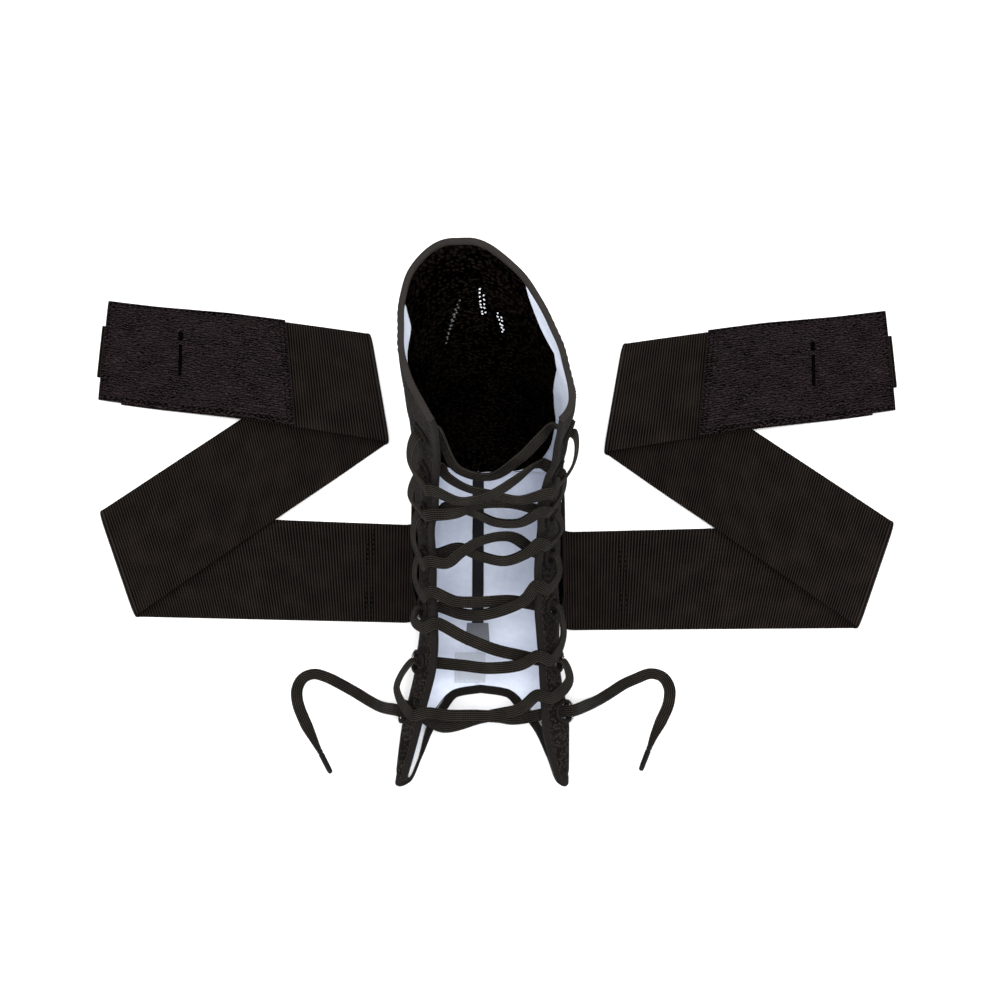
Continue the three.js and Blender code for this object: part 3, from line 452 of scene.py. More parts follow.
@dataclass(frozen=True)
class ClothFinish:
    """One finish: its weave, a dark colour and a lighter one laid on the weave's raised parts as painted
    highlight and random mottle, and how it takes the light.
    """

    name: str
    weave: Weave
    dark: tuple[float, float, float]
    # The lighter colour: painted highlight on the weave's crests, with random mottle.
    light: tuple[float, float, float]
    pitch: float = 1.0
    relief: float = 0.5
    roughness: float = 0.85
    specular: float = 0.1
    on_cloth: bool = False

    def material(self) -> bpy.types.Material:
        """Return the finish as a material, made when it is first asked for."""
        if self.name in FINISHED:
            return FINISHED[self.name]
        made = bpy.data.materials.new(f"cloth_{self.name}")
        FINISHED[self.name] = made
        made.use_nodes = True
        nodes, links = made.node_tree.nodes, made.node_tree.links
        shader = nodes["Principled BSDF"]
        shader.inputs["Specular IOR Level"].default_value = self.specular
        effect = nodes.new("ShaderNodeGroup")
        effect.node_tree = EffectGroups.group(self.weave)
        if self.on_cloth:
            source = nodes.new("ShaderNodeUVMap")
            source.uv_map = "cloth"
            place = source.outputs["UV"]
            effect.inputs["Pitch"].default_value = self.pitch
        else:
            place = nodes.new("ShaderNodeTexCoord").outputs["Object"]
            effect.inputs["Pitch"].default_value = self.pitch * MM
        links.new(place, effect.inputs["Position"])
        # The lighter colour follows the weave's mask: painted highlight on the raised parts, with random
        # mottle.
        colours = nodes.new("ShaderNodeMix")
        colours.data_type = "RGBA"
        colours.inputs["A"].default_value = (*self.dark, 1)
        colours.inputs["B"].default_value = (*self.light, 1)
        links.new(effect.outputs["Mask"], colours.inputs["Factor"])
        links.new(colours.outputs["Result"], shader.inputs["Base Color"])
        rough = nodes.new("ShaderNodeMapRange")
        rough.inputs["To Min"].default_value = min(1.0, self.roughness + 0.1)
        rough.inputs["To Max"].default_value = self.roughness - 0.1
        links.new(effect.outputs["Mask"], rough.inputs["Value"])
        links.new(rough.outputs["Result"], shader.inputs["Roughness"])
        bump = nodes.new("ShaderNodeBump")
        bump.inputs["Strength"].default_value = self.relief
        bump.inputs["Distance"].default_value = 0.5 * self.pitch * MM
        links.new(effect.outputs["Height"], bump.inputs["Height"])
        links.new(bump.outputs["Normal"], shader.inputs["Normal"])
        return made


KNIT = ClothFinish(
    "panel_knit", Weave.KNIT, dark=(0.002, 0.0015, 0.0012), light=(0.032, 0.025, 0.021),
    pitch=1.15, relief=1.0)
MESH = ClothFinish(
    "back_knit", Weave.MESH, dark=(0.0002, 0.0001, 0.0001), light=(0.0125, 0.0092, 0.0072),
    pitch=1.9, relief=1.0, specular=0.0)
TAPE = ClothFinish(
    "binding_tape", Weave.TWILL, dark=(0.009, 0.0075, 0.0067), light=(0.031, 0.0262, 0.0235),
    pitch=0.9, relief=0.6, roughness=0.75)
EDGE = ClothFinish(
    "dark_binding", Weave.TWILL, dark=(0.003, 0.0024, 0.002), light=(0.012, 0.0098, 0.0085),
    pitch=0.9, relief=0.6, roughness=0.8)
SOFT = ClothFinish(
    "lining_brushed", Weave.BRUSHED, dark=(0.6, 0.65, 0.76), light=(0.76, 0.8, 0.9),
    pitch=2.2, relief=0.35, roughness=0.9)
WEBBING = ClothFinish(
    "strap_webbing", Weave.RIB, dark=(0.0002, 0.0001, 0.0001), light=(0.0305, 0.0222, 0.0178),
    pitch=1.25, relief=1.0, roughness=0.75, specular=0.04, on_cloth=True)
PILE = ClothFinish(
    "patch_pile", Weave.PILE, dark=(0.0002, 0.0001, 0.0001), light=(0.033, 0.0232, 0.0255),
    pitch=1.3, relief=1.0, roughness=0.95, specular=0.02, on_cloth=True)
LACE = ClothFinish(
    "lace_braid", Weave.BRAID, dark=(0.0008, 0.0006, 0.0004), light=(0.036, 0.03, 0.023),
    pitch=0.84, relief=1.0, roughness=0.75, on_cloth=True)
THREAD = ClothFinish(
    "sewing_thread", Weave.SMOOTH, dark=(0.006, 0.005, 0.0045), light=(0.02, 0.017, 0.0155),
    pitch=0.5, relief=0.3, roughness=0.7)
DARK = ClothFinish(
    "dark_thread", Weave.SMOOTH, dark=(0.0002, 0.0002, 0.0002), light=(0.002, 0.0016, 0.0016),
    pitch=0.5, relief=0.3, roughness=0.8, specular=0.0)
RIM = ClothFinish(
    "eyelet_thread", Weave.SMOOTH, dark=(0.0015, 0.0012, 0.0011), light=(0.009, 0.0075, 0.0068),
    pitch=0.5, relief=0.4, roughness=0.7)
TIP = ClothFinish(
    "aglet_plastic", Weave.SMOOTH, dark=(0.002, 0.002, 0.002), light=(0.005, 0.005, 0.005),
    pitch=1.5, relief=0.1, roughness=0.35)
SEAM = ClothFinish(
    "seam_tape", Weave.TWILL, dark=(0.006, 0.006, 0.0065), light=(0.024, 0.024, 0.027),
    pitch=0.7, relief=0.6, roughness=0.85)
STRIP = ClothFinish(
    "seam_strip", Weave.TWILL, dark=(0.12, 0.125, 0.14), light=(0.24, 0.245, 0.27),
    pitch=0.7, relief=0.5, roughness=0.85)
LABEL = ClothFinish(
    "label_cloth", Weave.TWILL, dark=(0.46, 0.485, 0.55), light=(0.6, 0.63, 0.7),
    pitch=0.6, relief=0.3, roughness=0.85)
# Pale colour for the label's stitches, and painted light for the bright vent dots on the back knit.
PALE_THREAD_AND_PAINTED_LIGHT = ClothFinish(
    "pale_thread_and_painted_light", Weave.SMOOTH, dark=(0.5, 0.53, 0.57), light=(0.85, 0.87, 0.9),
    pitch=0.6, relief=0.3, roughness=0.8)
# Painted light: the dim vent dots on the back knit.
FAINT_PAINTED_LIGHT = ClothFinish(
    "faint_painted_light", Weave.SMOOTH, dark=(0.03, 0.03, 0.032), light=(0.14, 0.145, 0.15),
    pitch=0.6, relief=0.3, roughness=0.8)


def mesh_object(
    name: str, points: Array, faces: list[list[int]], finish: ClothFinish, cloth: Array | None = None,
) -> bpy.types.Object:
    """Make a smooth mesh piece in metres.

    Args:
        name: The piece's name.
        points: Its corners in millimetres.
        faces: Its faces as rows of corner numbers.
        finish: What it is finished with.
        cloth: Each corner's place on the flat cloth, in millimetres.

    Returns:
        The new object, in the scene.
    """
    mesh = bpy.data.meshes.new(name)
    mesh.from_pydata((np.asarray(points) * MM).tolist(), [], [tuple(int(i) for i in f) for f in faces])
    mesh.polygons.foreach_set("use_smooth", [True] * len(mesh.polygons))
    if cloth is not None:
        layer = mesh.uv_layers.new(name="cloth")
        corners = np.empty(len(mesh.loops), dtype=int)
        mesh.loops.foreach_get("vertex_index", corners)
        layer.data.foreach_set("uv", np.asarray(cloth)[corners].astype(np.float32).ravel())
    mesh.materials.append(finish.material())
    mesh.validate()
    mesh.update()
    made = bpy.data.objects.new(name, mesh)
    bpy.context.scene.collection.objects.link(made)
    return made


def outward(made: bpy.types.Object) -> bpy.types.Object:
    """Turn a closed mesh's faces out where its volume comes out negative."""
    mesh = made.data
    mesh.calc_loop_triangles()
    points = np.array([v.co for v in mesh.vertices])
    tris = np.array([t.vertices for t in mesh.loop_triangles])
    a, b, c = points[tris[:, 0]], points[tris[:, 1]], points[tris[:, 2]]
    if np.sum(a * np.cross(b, c)) < 0:
        mesh.flip_normals()
    return made


def shell(name: str, outer: Array, inner: Array, finish: ClothFinish, cloth: Array) -> bpy.types.Object:
    """Close two grids of the same size into a thin wall.

    Args:
        name: The piece's name.
        outer: The grid of outer points.
        inner: The grid of inner points.
        finish: What it is finished with.
        cloth: The grid's places on the flat cloth.

    Returns:
        The closed wall.
    """
    rows, columns = outer.shape[:2]
    index = np.arange(rows * columns).reshape(rows, columns)
    low = index + rows * columns
    a, b, c, d = index[:-1, :-1], index[:-1, 1:], index[1:, 1:], index[1:, :-1]
    faces = [np.stack([a, b, c, d], -1).reshape(-1, 4)]
    faces.append(np.stack([a, d, c, b], -1).reshape(-1, 4) + rows * columns)
    rim = np.concatenate([index[0, :-1], index[:-1, -1], index[-1, :0:-1], index[:0:-1, 0]])
    under = np.concatenate([low[0, :-1], low[:-1, -1], low[-1, :0:-1], low[:0:-1, 0]])
    faces.append(np.stack([np.roll(rim, -1), rim, under, np.roll(under, -1)], -1))
    points = np.concatenate([outer.reshape(-1, 3), inner.reshape(-1, 3)])
    both = np.concatenate([cloth.reshape(-1, 2)] * 2)
    return outward(mesh_object(name, points, np.concatenate(faces).tolist(), finish, both))


def bar(name: str, rings: Array, finish: ClothFinish, cloth: Array, closed: bool = False) -> bpy.types.Object:
    """Skin rings of corners into a bar.

    Args:
        name: The piece's name.
        rings: Rings by corners by 3.
        finish: What it is finished with.
        cloth: Rings by corners by 2, the places on the flat cloth.
        closed: Whether the last ring joins the first.

    Returns:
        The closed bar.
    """
    count, sides = rings.shape[:2]
    index = np.arange(count * sides).reshape(count, sides)
    near = index if closed else index[:-1]
    far = np.roll(index, -1, axis=0) if closed else index[1:]
    corners = (near, np.roll(near, -1, axis=1), np.roll(far, -1, axis=1), far)
    quads = np.stack(corners, -1).reshape(-1, 4).tolist()
    if not closed:
        half = sides // 2
        for ring, turned in ((index[0], True), (index[-1], False)):
            for j in range(half - 1):
                quad = [ring[j], ring[j + 1], ring[sides - 2 - j], ring[sides - 1 - j]]
                quads.append(quad[::-1] if turned else quad)
    return outward(mesh_object(name, rings.reshape(-1, 3), quads, finish, cloth.reshape(-1, 2)))


def rounded_section(
    columns: int, power: float = 6.0, shoulder: float = 12.0, corner: float = 0.04,
) -> tuple[Array, Array]:
    """Return both coordinates of a rounded flat section, its top first and its bottom back again."""
    across = np.cos(np.linspace(corner, math.pi - corner, columns))
    rounded = (1 - np.abs(across) ** power) ** (1 / power)
    thick = 0.5 * rounded + 0.5 * (1 - np.abs(across) ** shoulder)
    return np.concatenate([across, across[::-1]]), np.concatenate([thick, -thick[::-1]])


@dataclass
class Ribbon:
    """A flat run of tape, webbing or lace through frames of a place, a half width and a half thickness."""

    place: Array
    wide: Array
    thick: Array

    def build(self, name: str, finish: ClothFinish, columns: int = 12) -> bpy.types.Object:
        """Skin the ribbon, with its places on the flat cloth."""
        across, through = rounded_section(columns)
        rings = self.place[:, None] + self.wide[:, None] * across[None, :, None]
        rings = rings + self.thick[:, None] * through[None, :, None]
        run = running_length(self.place)
        half = float(np.mean(np.linalg.norm(self.wide, axis=1)))
        cloth = np.stack(np.broadcast_arrays(across[None, :] * half, run[:, None]), -1)
        return bar(name, rings, finish, cloth)

    def length(self) -> float:
        """Return the length of the middle line in millimetres."""
        return float(running_length(self.place)[-1])


class Sewing:
    """Stitches, threads and loops, set out by one Geometry Nodes tree."""

    @staticmethod
    def tree() -> bpy.types.NodeTree:
        """Return the tree that sets a short thread on every point, along its own run."""
        name = "thread_setter"
        if name in bpy.data.node_groups:
            return bpy.data.node_groups[name]
        tree = bpy.data.node_groups.new(name, "GeometryNodeTree")
        face = tree.interface
        face.new_socket("Geometry", in_out="INPUT", socket_type="NodeSocketGeometry")
        face.new_socket("Thread Radius", in_out="INPUT", socket_type="NodeSocketFloat")
        face.new_socket("Thread Length", in_out="INPUT", socket_type="NodeSocketFloat")
        face.new_socket("Finish", in_out="INPUT", socket_type="NodeSocketMaterial")
        face.new_socket("Geometry", in_out="OUTPUT", socket_type="NodeSocketGeometry")
        nodes, links = tree.nodes, tree.links
        inside, outside = nodes.new("NodeGroupInput"), nodes.new("NodeGroupOutput")
        run = nodes.new("GeometryNodeInputNamedAttribute")
        run.data_type = "FLOAT_VECTOR"
        run.inputs["Name"].default_value = "run"
        turn = nodes.new("FunctionNodeAlignRotationToVector")
        turn.axis = "Z"
        links.new(run.outputs["Attribute"], turn.inputs["Vector"])
        bead = nodes.new("GeometryNodeMeshUVSphere")
        bead.inputs["Segments"].default_value = 6
        bead.inputs["Rings"].default_value = 4
        bead.inputs["Radius"].default_value = 1.0
        size = nodes.new("ShaderNodeCombineXYZ")
        half = nodes.new("ShaderNodeMath")
        half.operation = "MULTIPLY"
        half.inputs[1].default_value = 0.5
        links.new(inside.outputs["Thread Length"], half.inputs[0])
        links.new(inside.outputs["Thread Radius"], size.inputs["X"])
        links.new(inside.outputs["Thread Radius"], size.inputs["Y"])
        links.new(half.outputs[0], size.inputs["Z"])
        spots = nodes.new("GeometryNodeMeshToPoints")
        links.new(inside.outputs["Geometry"], spots.inputs["Mesh"])
        setter = nodes.new("GeometryNodeInstanceOnPoints")
        links.new(spots.outputs["Points"], setter.inputs["Points"])
        links.new(bead.outputs["Mesh"], setter.inputs["Instance"])
        links.new(turn.outputs["Rotation"], setter.inputs["Rotation"])
        links.new(size.outputs["Vector"], setter.inputs["Scale"])
        real = nodes.new("GeometryNodeRealizeInstances")
        links.new(setter.outputs["Instances"], real.inputs["Geometry"])
        finish = nodes.new("GeometryNodeSetMaterial")
        links.new(real.outputs["Geometry"], finish.inputs["Geometry"])
        links.new(inside.outputs["Finish"], finish.inputs["Material"])
        links.new(finish.outputs["Geometry"], outside.inputs["Geometry"])
        return tree

    @classmethod
    def threads(
        cls, name: str, points: Array, runs: Array, length: float, radius: float,
        finish: ClothFinish = THREAD,
    ) -> bpy.types.Object:
        """Set a thread on each point.

        Args:
            name: The piece's name.
            points: The middles of the threads, in millimetres.
            runs: The way that each thread lies.
            length: The length of a thread.
            radius: Its radius.
            finish: What it is finished with.

        Returns:
            The threads as one plain mesh.
        """
        mesh = bpy.data.meshes.new(f"{name}_points")
        mesh.from_pydata((points * MM).tolist(), [], [])
        attribute = mesh.attributes.new("run", "FLOAT_VECTOR", "POINT")
        attribute.data.foreach_set("vector", unit(runs).astype(np.float32).ravel())
        source = bpy.data.objects.new(f"{name}_points", mesh)
        bpy.context.scene.collection.objects.link(source)
        modifier = source.modifiers.new("threads", "NODES")
        modifier.node_group = cls.tree()
        given = {"Thread Radius": radius * MM, "Thread Length": length * MM, "Finish": finish.material()}
        for item in modifier.node_group.interface.items_tree:
            if item.item_type == "SOCKET" and item.in_out == "INPUT" and item.name in given:
                modifier[item.identifier] = given[item.name]
        graph = bpy.context.evaluated_depsgraph_get()
        made = bpy.data.meshes.new_from_object(source.evaluated_get(graph), depsgraph=graph)
        bpy.data.objects.remove(source, do_unlink=True)
        made.name = name
        made.polygons.foreach_set("use_smooth", [True] * len(made.polygons))
        result = bpy.data.objects.new(name, made)
        bpy.context.scene.collection.objects.link(result)
        return result

    @staticmethod
    def row(line: Array, pitch: float) -> tuple[Array, Array]:
        """Space points along a line of points.

        Args:
            line: The line, in millimetres.
            pitch: The distance from one point to the next.

        Returns:
            The points and the line's direction at each.
        """
        run = running_length(line)
        at = np.arange(pitch / 2, run[-1], pitch)
        spaced = np.stack([np.interp(at, run, line[:, k]) for k in range(3)], -1)
        small = 0.2
        ahead = np.stack([np.interp(at + small, run, line[:, k]) for k in range(3)], -1)
        behind = np.stack([np.interp(at - small, run, line[:, k]) for k in range(3)], -1)
        return spaced, ahead - behind

    @classmethod
    def rows(
        cls, name: str, lines: list[Array], pitch: float = 3.0, length: float = 2.3, radius: float = 0.3,
        finish: ClothFinish = THREAD,
    ) -> bpy.types.Object:
        """Sew stitches along several lines as one piece."""
        spaced = [cls.row(line, pitch) for line in lines]
        points = np.concatenate([pair[0] for pair in spaced])
        runs = np.concatenate([pair[1] for pair in spaced])
        return cls.threads(name, points, runs, length, radius, finish)


def settle(made: bpy.types.Object, slot: str, *nodes: str) -> bpy.types.Object:
    """Put a finished piece on the brace, hide the CAD nodes that it stands for and log its face count."""
    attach(made, "root")
    if nodes:
        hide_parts(*nodes)
    LOG.info("%s: %d faces", made.name, len(made.data.polygons))
    return made


# Columns of pale beads on the inside of the back knit, grouped by piece. They are painted light that stands
# in for light seen through its holes. Each entry gives its finish, then rows of share, lean, top and low
# station, and count.
VENTS = {
    "back_vent_painted_light": (PALE_THREAD_AND_PAINTED_LIGHT, (
        (0.068, 0.0, 10.28, 9.82, 8), (0.088, 0.0, 10.2, 9.86, 5),
        (0.15, 0.01, 9.92, 9.55, 6), (0.168, 0.0, 9.85, 9.6, 4),
    )),
    "back_vent_faint_painted_light": (FAINT_PAINTED_LIGHT, (
        (-0.045, -0.09, 9.95, 9.4, 9), (-0.06, -0.09, 9.85, 9.3, 8), (-0.03, -0.06, 10.1, 9.7, 5),
    )),
}


@dataclass
class Upper:
    """The two side walls with their linings, the back piece and the bindings."""

    surface: BraceSurface
    columns: int = 56
    toe_top: float = 2.2
    panel_tip: float = 0.9
    tip: float = 0.95
    foot_low: float = 5.9
    foot_high: float = 8.6
    foot_share: float = 0.42
    flap_from: float = 0.03
    stitch_inset: float = 2.7
    line_inset: float = 19.0
    line_stations: tuple[float, float] = (3.0, 10.6)
    back_stitches: tuple[float, float] = (6.6, 10.85)
    back_insets: tuple[float, float] = (0.012, 0.035)
    collar: float = 2.3
    hold: float = 0.6
    toe_hold: float = 0.7
    binding_sides: int = 20
    binding_round: float = 0.55
    vent_size: tuple[float, float] = (1.15, 0.4)

    @property
    def inset(self) -> float:
        """Return how far the walls stop inside the bound edges."""
        return CLOTH.binding - self.hold

    def seam_share(self, station: Array | float, side: int) -> Array:
        """Return the share of the sole's seam, counted towards a side."""
        return side * CLOTH.seam_x / self.surface.total(station, -1)

    @staticmethod
    def toe_band(share: Array, width: float) -> Array:
        """Return the toe binding's width, which narrows between the arch and the tips."""
        return width * np.interp(np.abs(share), (0.36, 0.52, 0.64, 0.74), (1, 0.42, 0.42, 1.2))

    def toe_shares(self, side: int, count: int) -> Array:
        """Return shares along the toe edge from the seam to where the wall ends."""
        return side * np.linspace(float(self.seam_share(self.toe_top, side)), self.panel_tip, count)

    def row(self, station: Array | float, low: float, side: int) -> Array:
        """Return a row of stations and shares from the wall's inner border to its laced edge."""
        high = abs(self.surface.edge_share(station, side, self.inset))
        shares = side * np.linspace(low, float(high), self.columns)
        return np.stack([np.full(self.columns, float(station)), shares], -1)

    def back_reach(self, station: float, side: int) -> float:
        """Return the share where the back piece ends at a station."""
        if station >= self.foot_high:
            return float(along(BACK_STATION, BACK_SHARE[side], station))
        angle = math.acos((self.foot_high - station) / (self.foot_high - self.foot_low))
        return self.foot_share * math.sin(angle)

    def foot_stations(self, start: float) -> Array:
        """Return stations round the back piece's rounded foot."""
        angles = np.radians(np.linspace(start, 90, 26))
        return self.foot_high - (self.foot_high - self.foot_low) * np.cos(angles)

    def collar_row(self, row: Array) -> Array:
        """Return a row drawn down from the collar's edge to make room for the binding."""
        depth = self.collar - self.hold
        return np.stack([self.surface.below_collar(row[:, 1], depth), row[:, 1]], -1)

    def to_edge(self, row: Array, side: int) -> Array:
        """Return a row stretched so that its last place stands beside the laced edge."""
        first, last = row[0, 1], row[-1, 1]
        edge = float(self.surface.edge_share(row[-1, 0], side, self.inset))
        shares = first + (row[:, 1] - first) * (edge - first) / (last - first)
        return np.stack([row[:, 0], shares], -1)

    def wall_grid(self, side: int) -> Array:
        """Return the stations and shares of one side wall, from its toe to its collar."""
        above = self.row(self.toe_top, float(self.seam_share(self.toe_top, side)), side)
        toes = self.toe_shares(side, self.columns)
        low = self.surface.toe_inset(toes, self.toe_band(toes, CLOTH.binding) - self.toe_hold)
        low = np.stack(low, -1)
        rows = [self.to_edge(low + (above - low) * t, side) for t in np.linspace(0, 1, 22)[:-1]]
        for station in np.linspace(self.toe_top, self.foot_low, 34):
            rows.append(self.row(station, float(self.seam_share(station, side)), side))
        for station in self.foot_stations(12):
            rows.append(self.row(station, self.back_reach(station, side), side))
        for station in np.linspace(self.foot_high, TOP, 26)[1:]:
            rows.append(self.row(station, self.back_reach(station, side), side))
        rows[-1] = self.collar_row(rows[-1])
        return np.stack(rows)

    def back_grid(self) -> Array:
        """Return the stations and shares of the back piece."""
        stations = [*self.foot_stations(10), *np.linspace(self.foot_high, TOP, 30)[1:]]
        rows = []
        for station in stations:
            left, right = self.back_reach(station, -1), self.back_reach(station, 1)
            shares = np.linspace(-left, right, self.columns)
            rows.append(np.stack([np.full(self.columns, station), shares], -1))
        rows[-1] = self.collar_row(rows[-1])
        return np.stack(rows)

    def cloth_places(self, grid: Array, points: Array) -> Array:
        """Return the places of a grid on its flat cloth, in millimetres."""
        across = grid[..., 1] * self.surface.total(grid[..., 0], 1)
        down = np.cumsum(np.linalg.norm(np.diff(points, axis=0), axis=2), axis=0)
        down = np.concatenate([np.zeros((1, points.shape[1])), down])
        middle = np.median(down, axis=1, keepdims=True)
        return np.stack([across, 0.5 * down + 0.5 * middle], -1)

    def wall(
        self, name: str, grid: Array, shallow: float, deep: float, finish: ClothFinish,
    ) -> bpy.types.Object:
        """Make a wall between two depths below the outer surface."""
        there = self.surface.at(grid[..., 0], grid[..., 1])
        border = np.zeros(grid.shape[:2])
        border[[0, -1]] = border[:, [0, -1]] = 1.0
        ease = (0.3 * (deep - shallow) * border)[..., None]
        outer, inner = there.lifted(-shallow - ease), there.lifted(-deep + ease)
        return shell(name, outer, inner, finish, self.cloth_places(grid, outer))

    def punch(self, made: bpy.types.Object, side: int, lacing: "Lacing") -> bpy.types.Object:
        """Cut the lace holes of one side through a wall."""
        corners, above, below = 20, 8, 12
        angles = np.linspace(0, 2 * math.pi, corners, endpoint=False)[:, None]
        rings, faces = [], []
        for number in range(1, lacing.count + 1):
            hole = lacing.hole(side, number)
            first = unit(hole.onward)
            second = np.cross(hole.normal, first)
            circle = hole.place + CLOTH.hole * (np.cos(angles) * first + np.sin(angles) * second)
            rings += [circle + above * hole.normal, circle - below * hole.normal]
            high = 2 * corners * (number - 1) + np.arange(corners)
            low = high + corners
            faces += np.stack([high, low, np.roll(low, -1), np.roll(high, -1)], -1).tolist()
            faces += [high.tolist(), low[::-1].tolist()]
        punch = mesh_object("lace_hole_punch", np.concatenate(rings), faces, RIM)
        outward(punch)
        cut = made.modifiers.new("lace_holes", "BOOLEAN")
        cut.operation, cut.solver, cut.object = "DIFFERENCE", "EXACT", punch
        graph = bpy.context.evaluated_depsgraph_get()
        mesh = bpy.data.meshes.new_from_object(made.evaluated_get(graph), depsgraph=graph)
        made.modifiers.clear()
        made.data = mesh
        bpy.data.objects.remove(punch, do_unlink=True)
        return made

    def binding(
        self, name: str, edge: Places, within: Places, proud: float, finish: ClothFinish = EDGE,
    ) -> bpy.types.Object:
        """Make a rounded binding between places on an edge and inside it."""
        turn = np.linspace(0, 2 * math.pi, self.binding_sides, endpoint=False)
        p, q = (np.sign(way) * np.abs(way) ** self.binding_round for way in (np.cos(turn), np.sin(turn)))
        deep = CLOTH.wall + CLOTH.proud
        high_edge, low_edge = edge.lifted(proud), edge.lifted(-deep)
        high_in, low_in = within.lifted(proud), within.lifted(-deep)
        rings = sum(
            (corner[:, None] * weight[None, :, None] for corner, weight in (
                (high_edge, (1 - p) * (1 + q) / 4), (low_edge, (1 - p) * (1 - q) / 4),
                (high_in, (1 + p) * (1 + q) / 4), (low_in, (1 + p) * (1 - q) / 4))))
        run = running_length(edge.place)
        cloth = np.stack(np.broadcast_arrays(turn[None, :] * 2, run[:, None]), -1)
        return bar(name, rings, finish, cloth)

    def flap_places(self, side: int, inset: float, stations: Array) -> Places:
        """Return places along a laced edge, at a distance inside it."""
        return self.surface.at(stations, self.surface.edge_share(stations, side, inset))

    def build_bindings(self) -> None:
        """Make the four bindings and the stitches along them."""
        surface = self.surface
        lines = []
        for side, hand in SIDES.items():
            top = surface.below_collar(np.array([side * self.tip]), self.inset)
            stations = np.linspace(self.flap_from, float(top[0]), 240)
            edge, within = (self.flap_places(side, inset, stations) for inset in (0, CLOTH.binding))
            made = self.binding(f"flap_edge_{hand}", edge, within, CLOTH.proud)
            settle(made, "binding_tape", f"flap_binding_{hand}")
            lines.append(self.flap_places(side, self.stitch_inset, stations).lifted(CLOTH.proud))
            inner = np.linspace(*self.line_stations, 160)
            lines.append(self.flap_places(side, self.line_inset, inner).lifted(0.1))
        shares = np.linspace(-0.999, 0.999, 300)
        within = surface.at(surface.below_collar(shares, self.collar), shares)
        made = self.binding("collar_edge", surface.at(TOP, shares), within, CLOTH.proud, TAPE)
        settle(made, "binding_tape", "collar_binding")
        sewn = surface.at(surface.below_collar(shares, self.collar - self.hold), shares)
        lines.append(sewn.lifted(CLOTH.proud))
        toes = np.linspace(-self.tip, self.tip, 220)
        within = surface.at(*surface.toe_inset(toes, self.toe_band(toes, CLOTH.binding)))
        made = self.binding("toe_edge", surface.at(surface.toe_station(toes), toes), within, 0)
        settle(made, "binding_tape", "toe_binding")
        sewn = surface.at(*surface.toe_inset(toes, self.toe_band(toes, self.stitch_inset)))
        lines.append(sewn.lifted(-(CLOTH.wall + CLOTH.proud)))
        stations = np.linspace(*self.back_stitches, 120)
        for side in SIDES:
            share = side * np.array([self.back_reach(station, side) for station in stations])
            for inset in self.back_insets:
                lines.append(surface.at(stations, share + side * inset).lifted(0.12))
        settle(Sewing.rows("edge_stitches", lines, 2.9, 2.2, 0.27), "eyelet_thread")

    def build_vents(self) -> None:
        """Set short columns of pale beads inside the back knit: painted light that stands in for light seen
        through its holes.
        """
        rng = np.random.default_rng(SEED)
        for name, (finish, rows) in VENTS.items():
            points, runs = [], []
            for share, lean, top, low, count in rows:
                stations = np.linspace(top, low, count) + rng.uniform(-0.012, 0.012, count)
                shares = np.linspace(share, share + lean, count) + rng.uniform(-0.004, 0.004, count)
                there = self.surface.at(stations, shares)
                points.append(there.lifted(-CLOTH.wall - 0.15))
                runs.append(there.onward + 0.5 * there.across * rng.uniform(-1, 1, (count, 1)))
            points, runs = np.concatenate(points), np.concatenate(runs)
            settle(Sewing.threads(name, points, runs, *self.vent_size, finish), "lining_fabric")

    def build(self, lacing: "Lacing") -> None:
        """Make every piece of the upper."""
        for side, hand in SIDES.items():
            grid = self.wall_grid(side)
            panel = self.punch(self.wall(f"wall_{hand}", grid, 0, CLOTH.panel, KNIT), side, lacing)
            settle(panel, "panel_fabric", f"side_panel_{hand}")
            lining = self.wall(f"inner_{hand}", grid, CLOTH.panel, CLOTH.wall, SOFT)
            settle(self.punch(lining, side, lacing), "lining_fabric", f"lining_{hand}")
        back = self.wall("back_piece", self.back_grid(), 0, CLOTH.wall + 0.1, MESH)
        settle(back, "back_mesh", "back_panel")
        self.build_bindings()
        self.build_vents()


STRANDS = {
    -1: (
        (6, 6.62, ((-0.53, 6.06, 2.2), (0, 6.37, 1.6), (0.41, 6.92, -1.5), (0.73, 7.06, -7.5))),
        (4.5, 5.25, ((0.61, 4.73, 1.5), (0.16, 4.66, 0), (-0.22, 4.79, -2.8), (-0.69, 4.75, -7.1))),
        (5, 3.6, ((-0.71, 3.62, 2), (-0.46, 3.79, 0.5), (-0.09, 4.01, -1.5), (0.46, 3.98, -4.8))),
        (4, 3.16, ((0.76, 2.94, 2.2), (0.37, 2.73, 0.5), (-0.12, 2.61, -1.5), (-0.51, 2.6, -5.3))),
        (4, 2.47, ((-0.43, 2.26, 2), (0.13, 2.06, 1), (0.61, 1.92, -6.3))),
        (4.5, 1.38, ((0.63, 1.19, 0.4), (0.29, 1.11, -0.9), (-0.04, 1.05, -1), (-0.63, 0.88, -6.5))),
    ),
    1: (
        (5, 6.5, ((0.57, 5.98, 1), (0.01, 6.15, -0.7), (-0.47, 6.07, -4.9), (-0.81, 6.42, -8.3))),
        (7, 4.95, ((-0.56, 5.19, 1.6), (-0.14, 5.12, -3.2), (0.41, 5.05, -4.4))),
        (5, 4.07, ((0.75, 3.84, 2.4), (0.37, 3.65, 1.5), (-0.09, 3.67, -1.5), (-0.47, 3.74, -4.9))),
        (4, 3.03, ((-0.59, 2.9, 2), (-0.1, 2.87, 1), (0.47, 2.81, -4.9))),
        (4, 1.94, ((0.61, 1.84, 2.2), (0.04, 1.78, 1), (-0.49, 1.77, -5.1))),
        (7, 1.11, ((-0.55, 1.1, 2.5), (-0.13, 1.1, 2.4), (0.26, 1.08, 2), (0.56, 1.01, -5.8))),
    ),
}
TOP_STRAND = ((-0.62, 6.99, -7), (0, 6.33, -8), (0.44, 7.53, -7), (0.71, 8.49, -7))
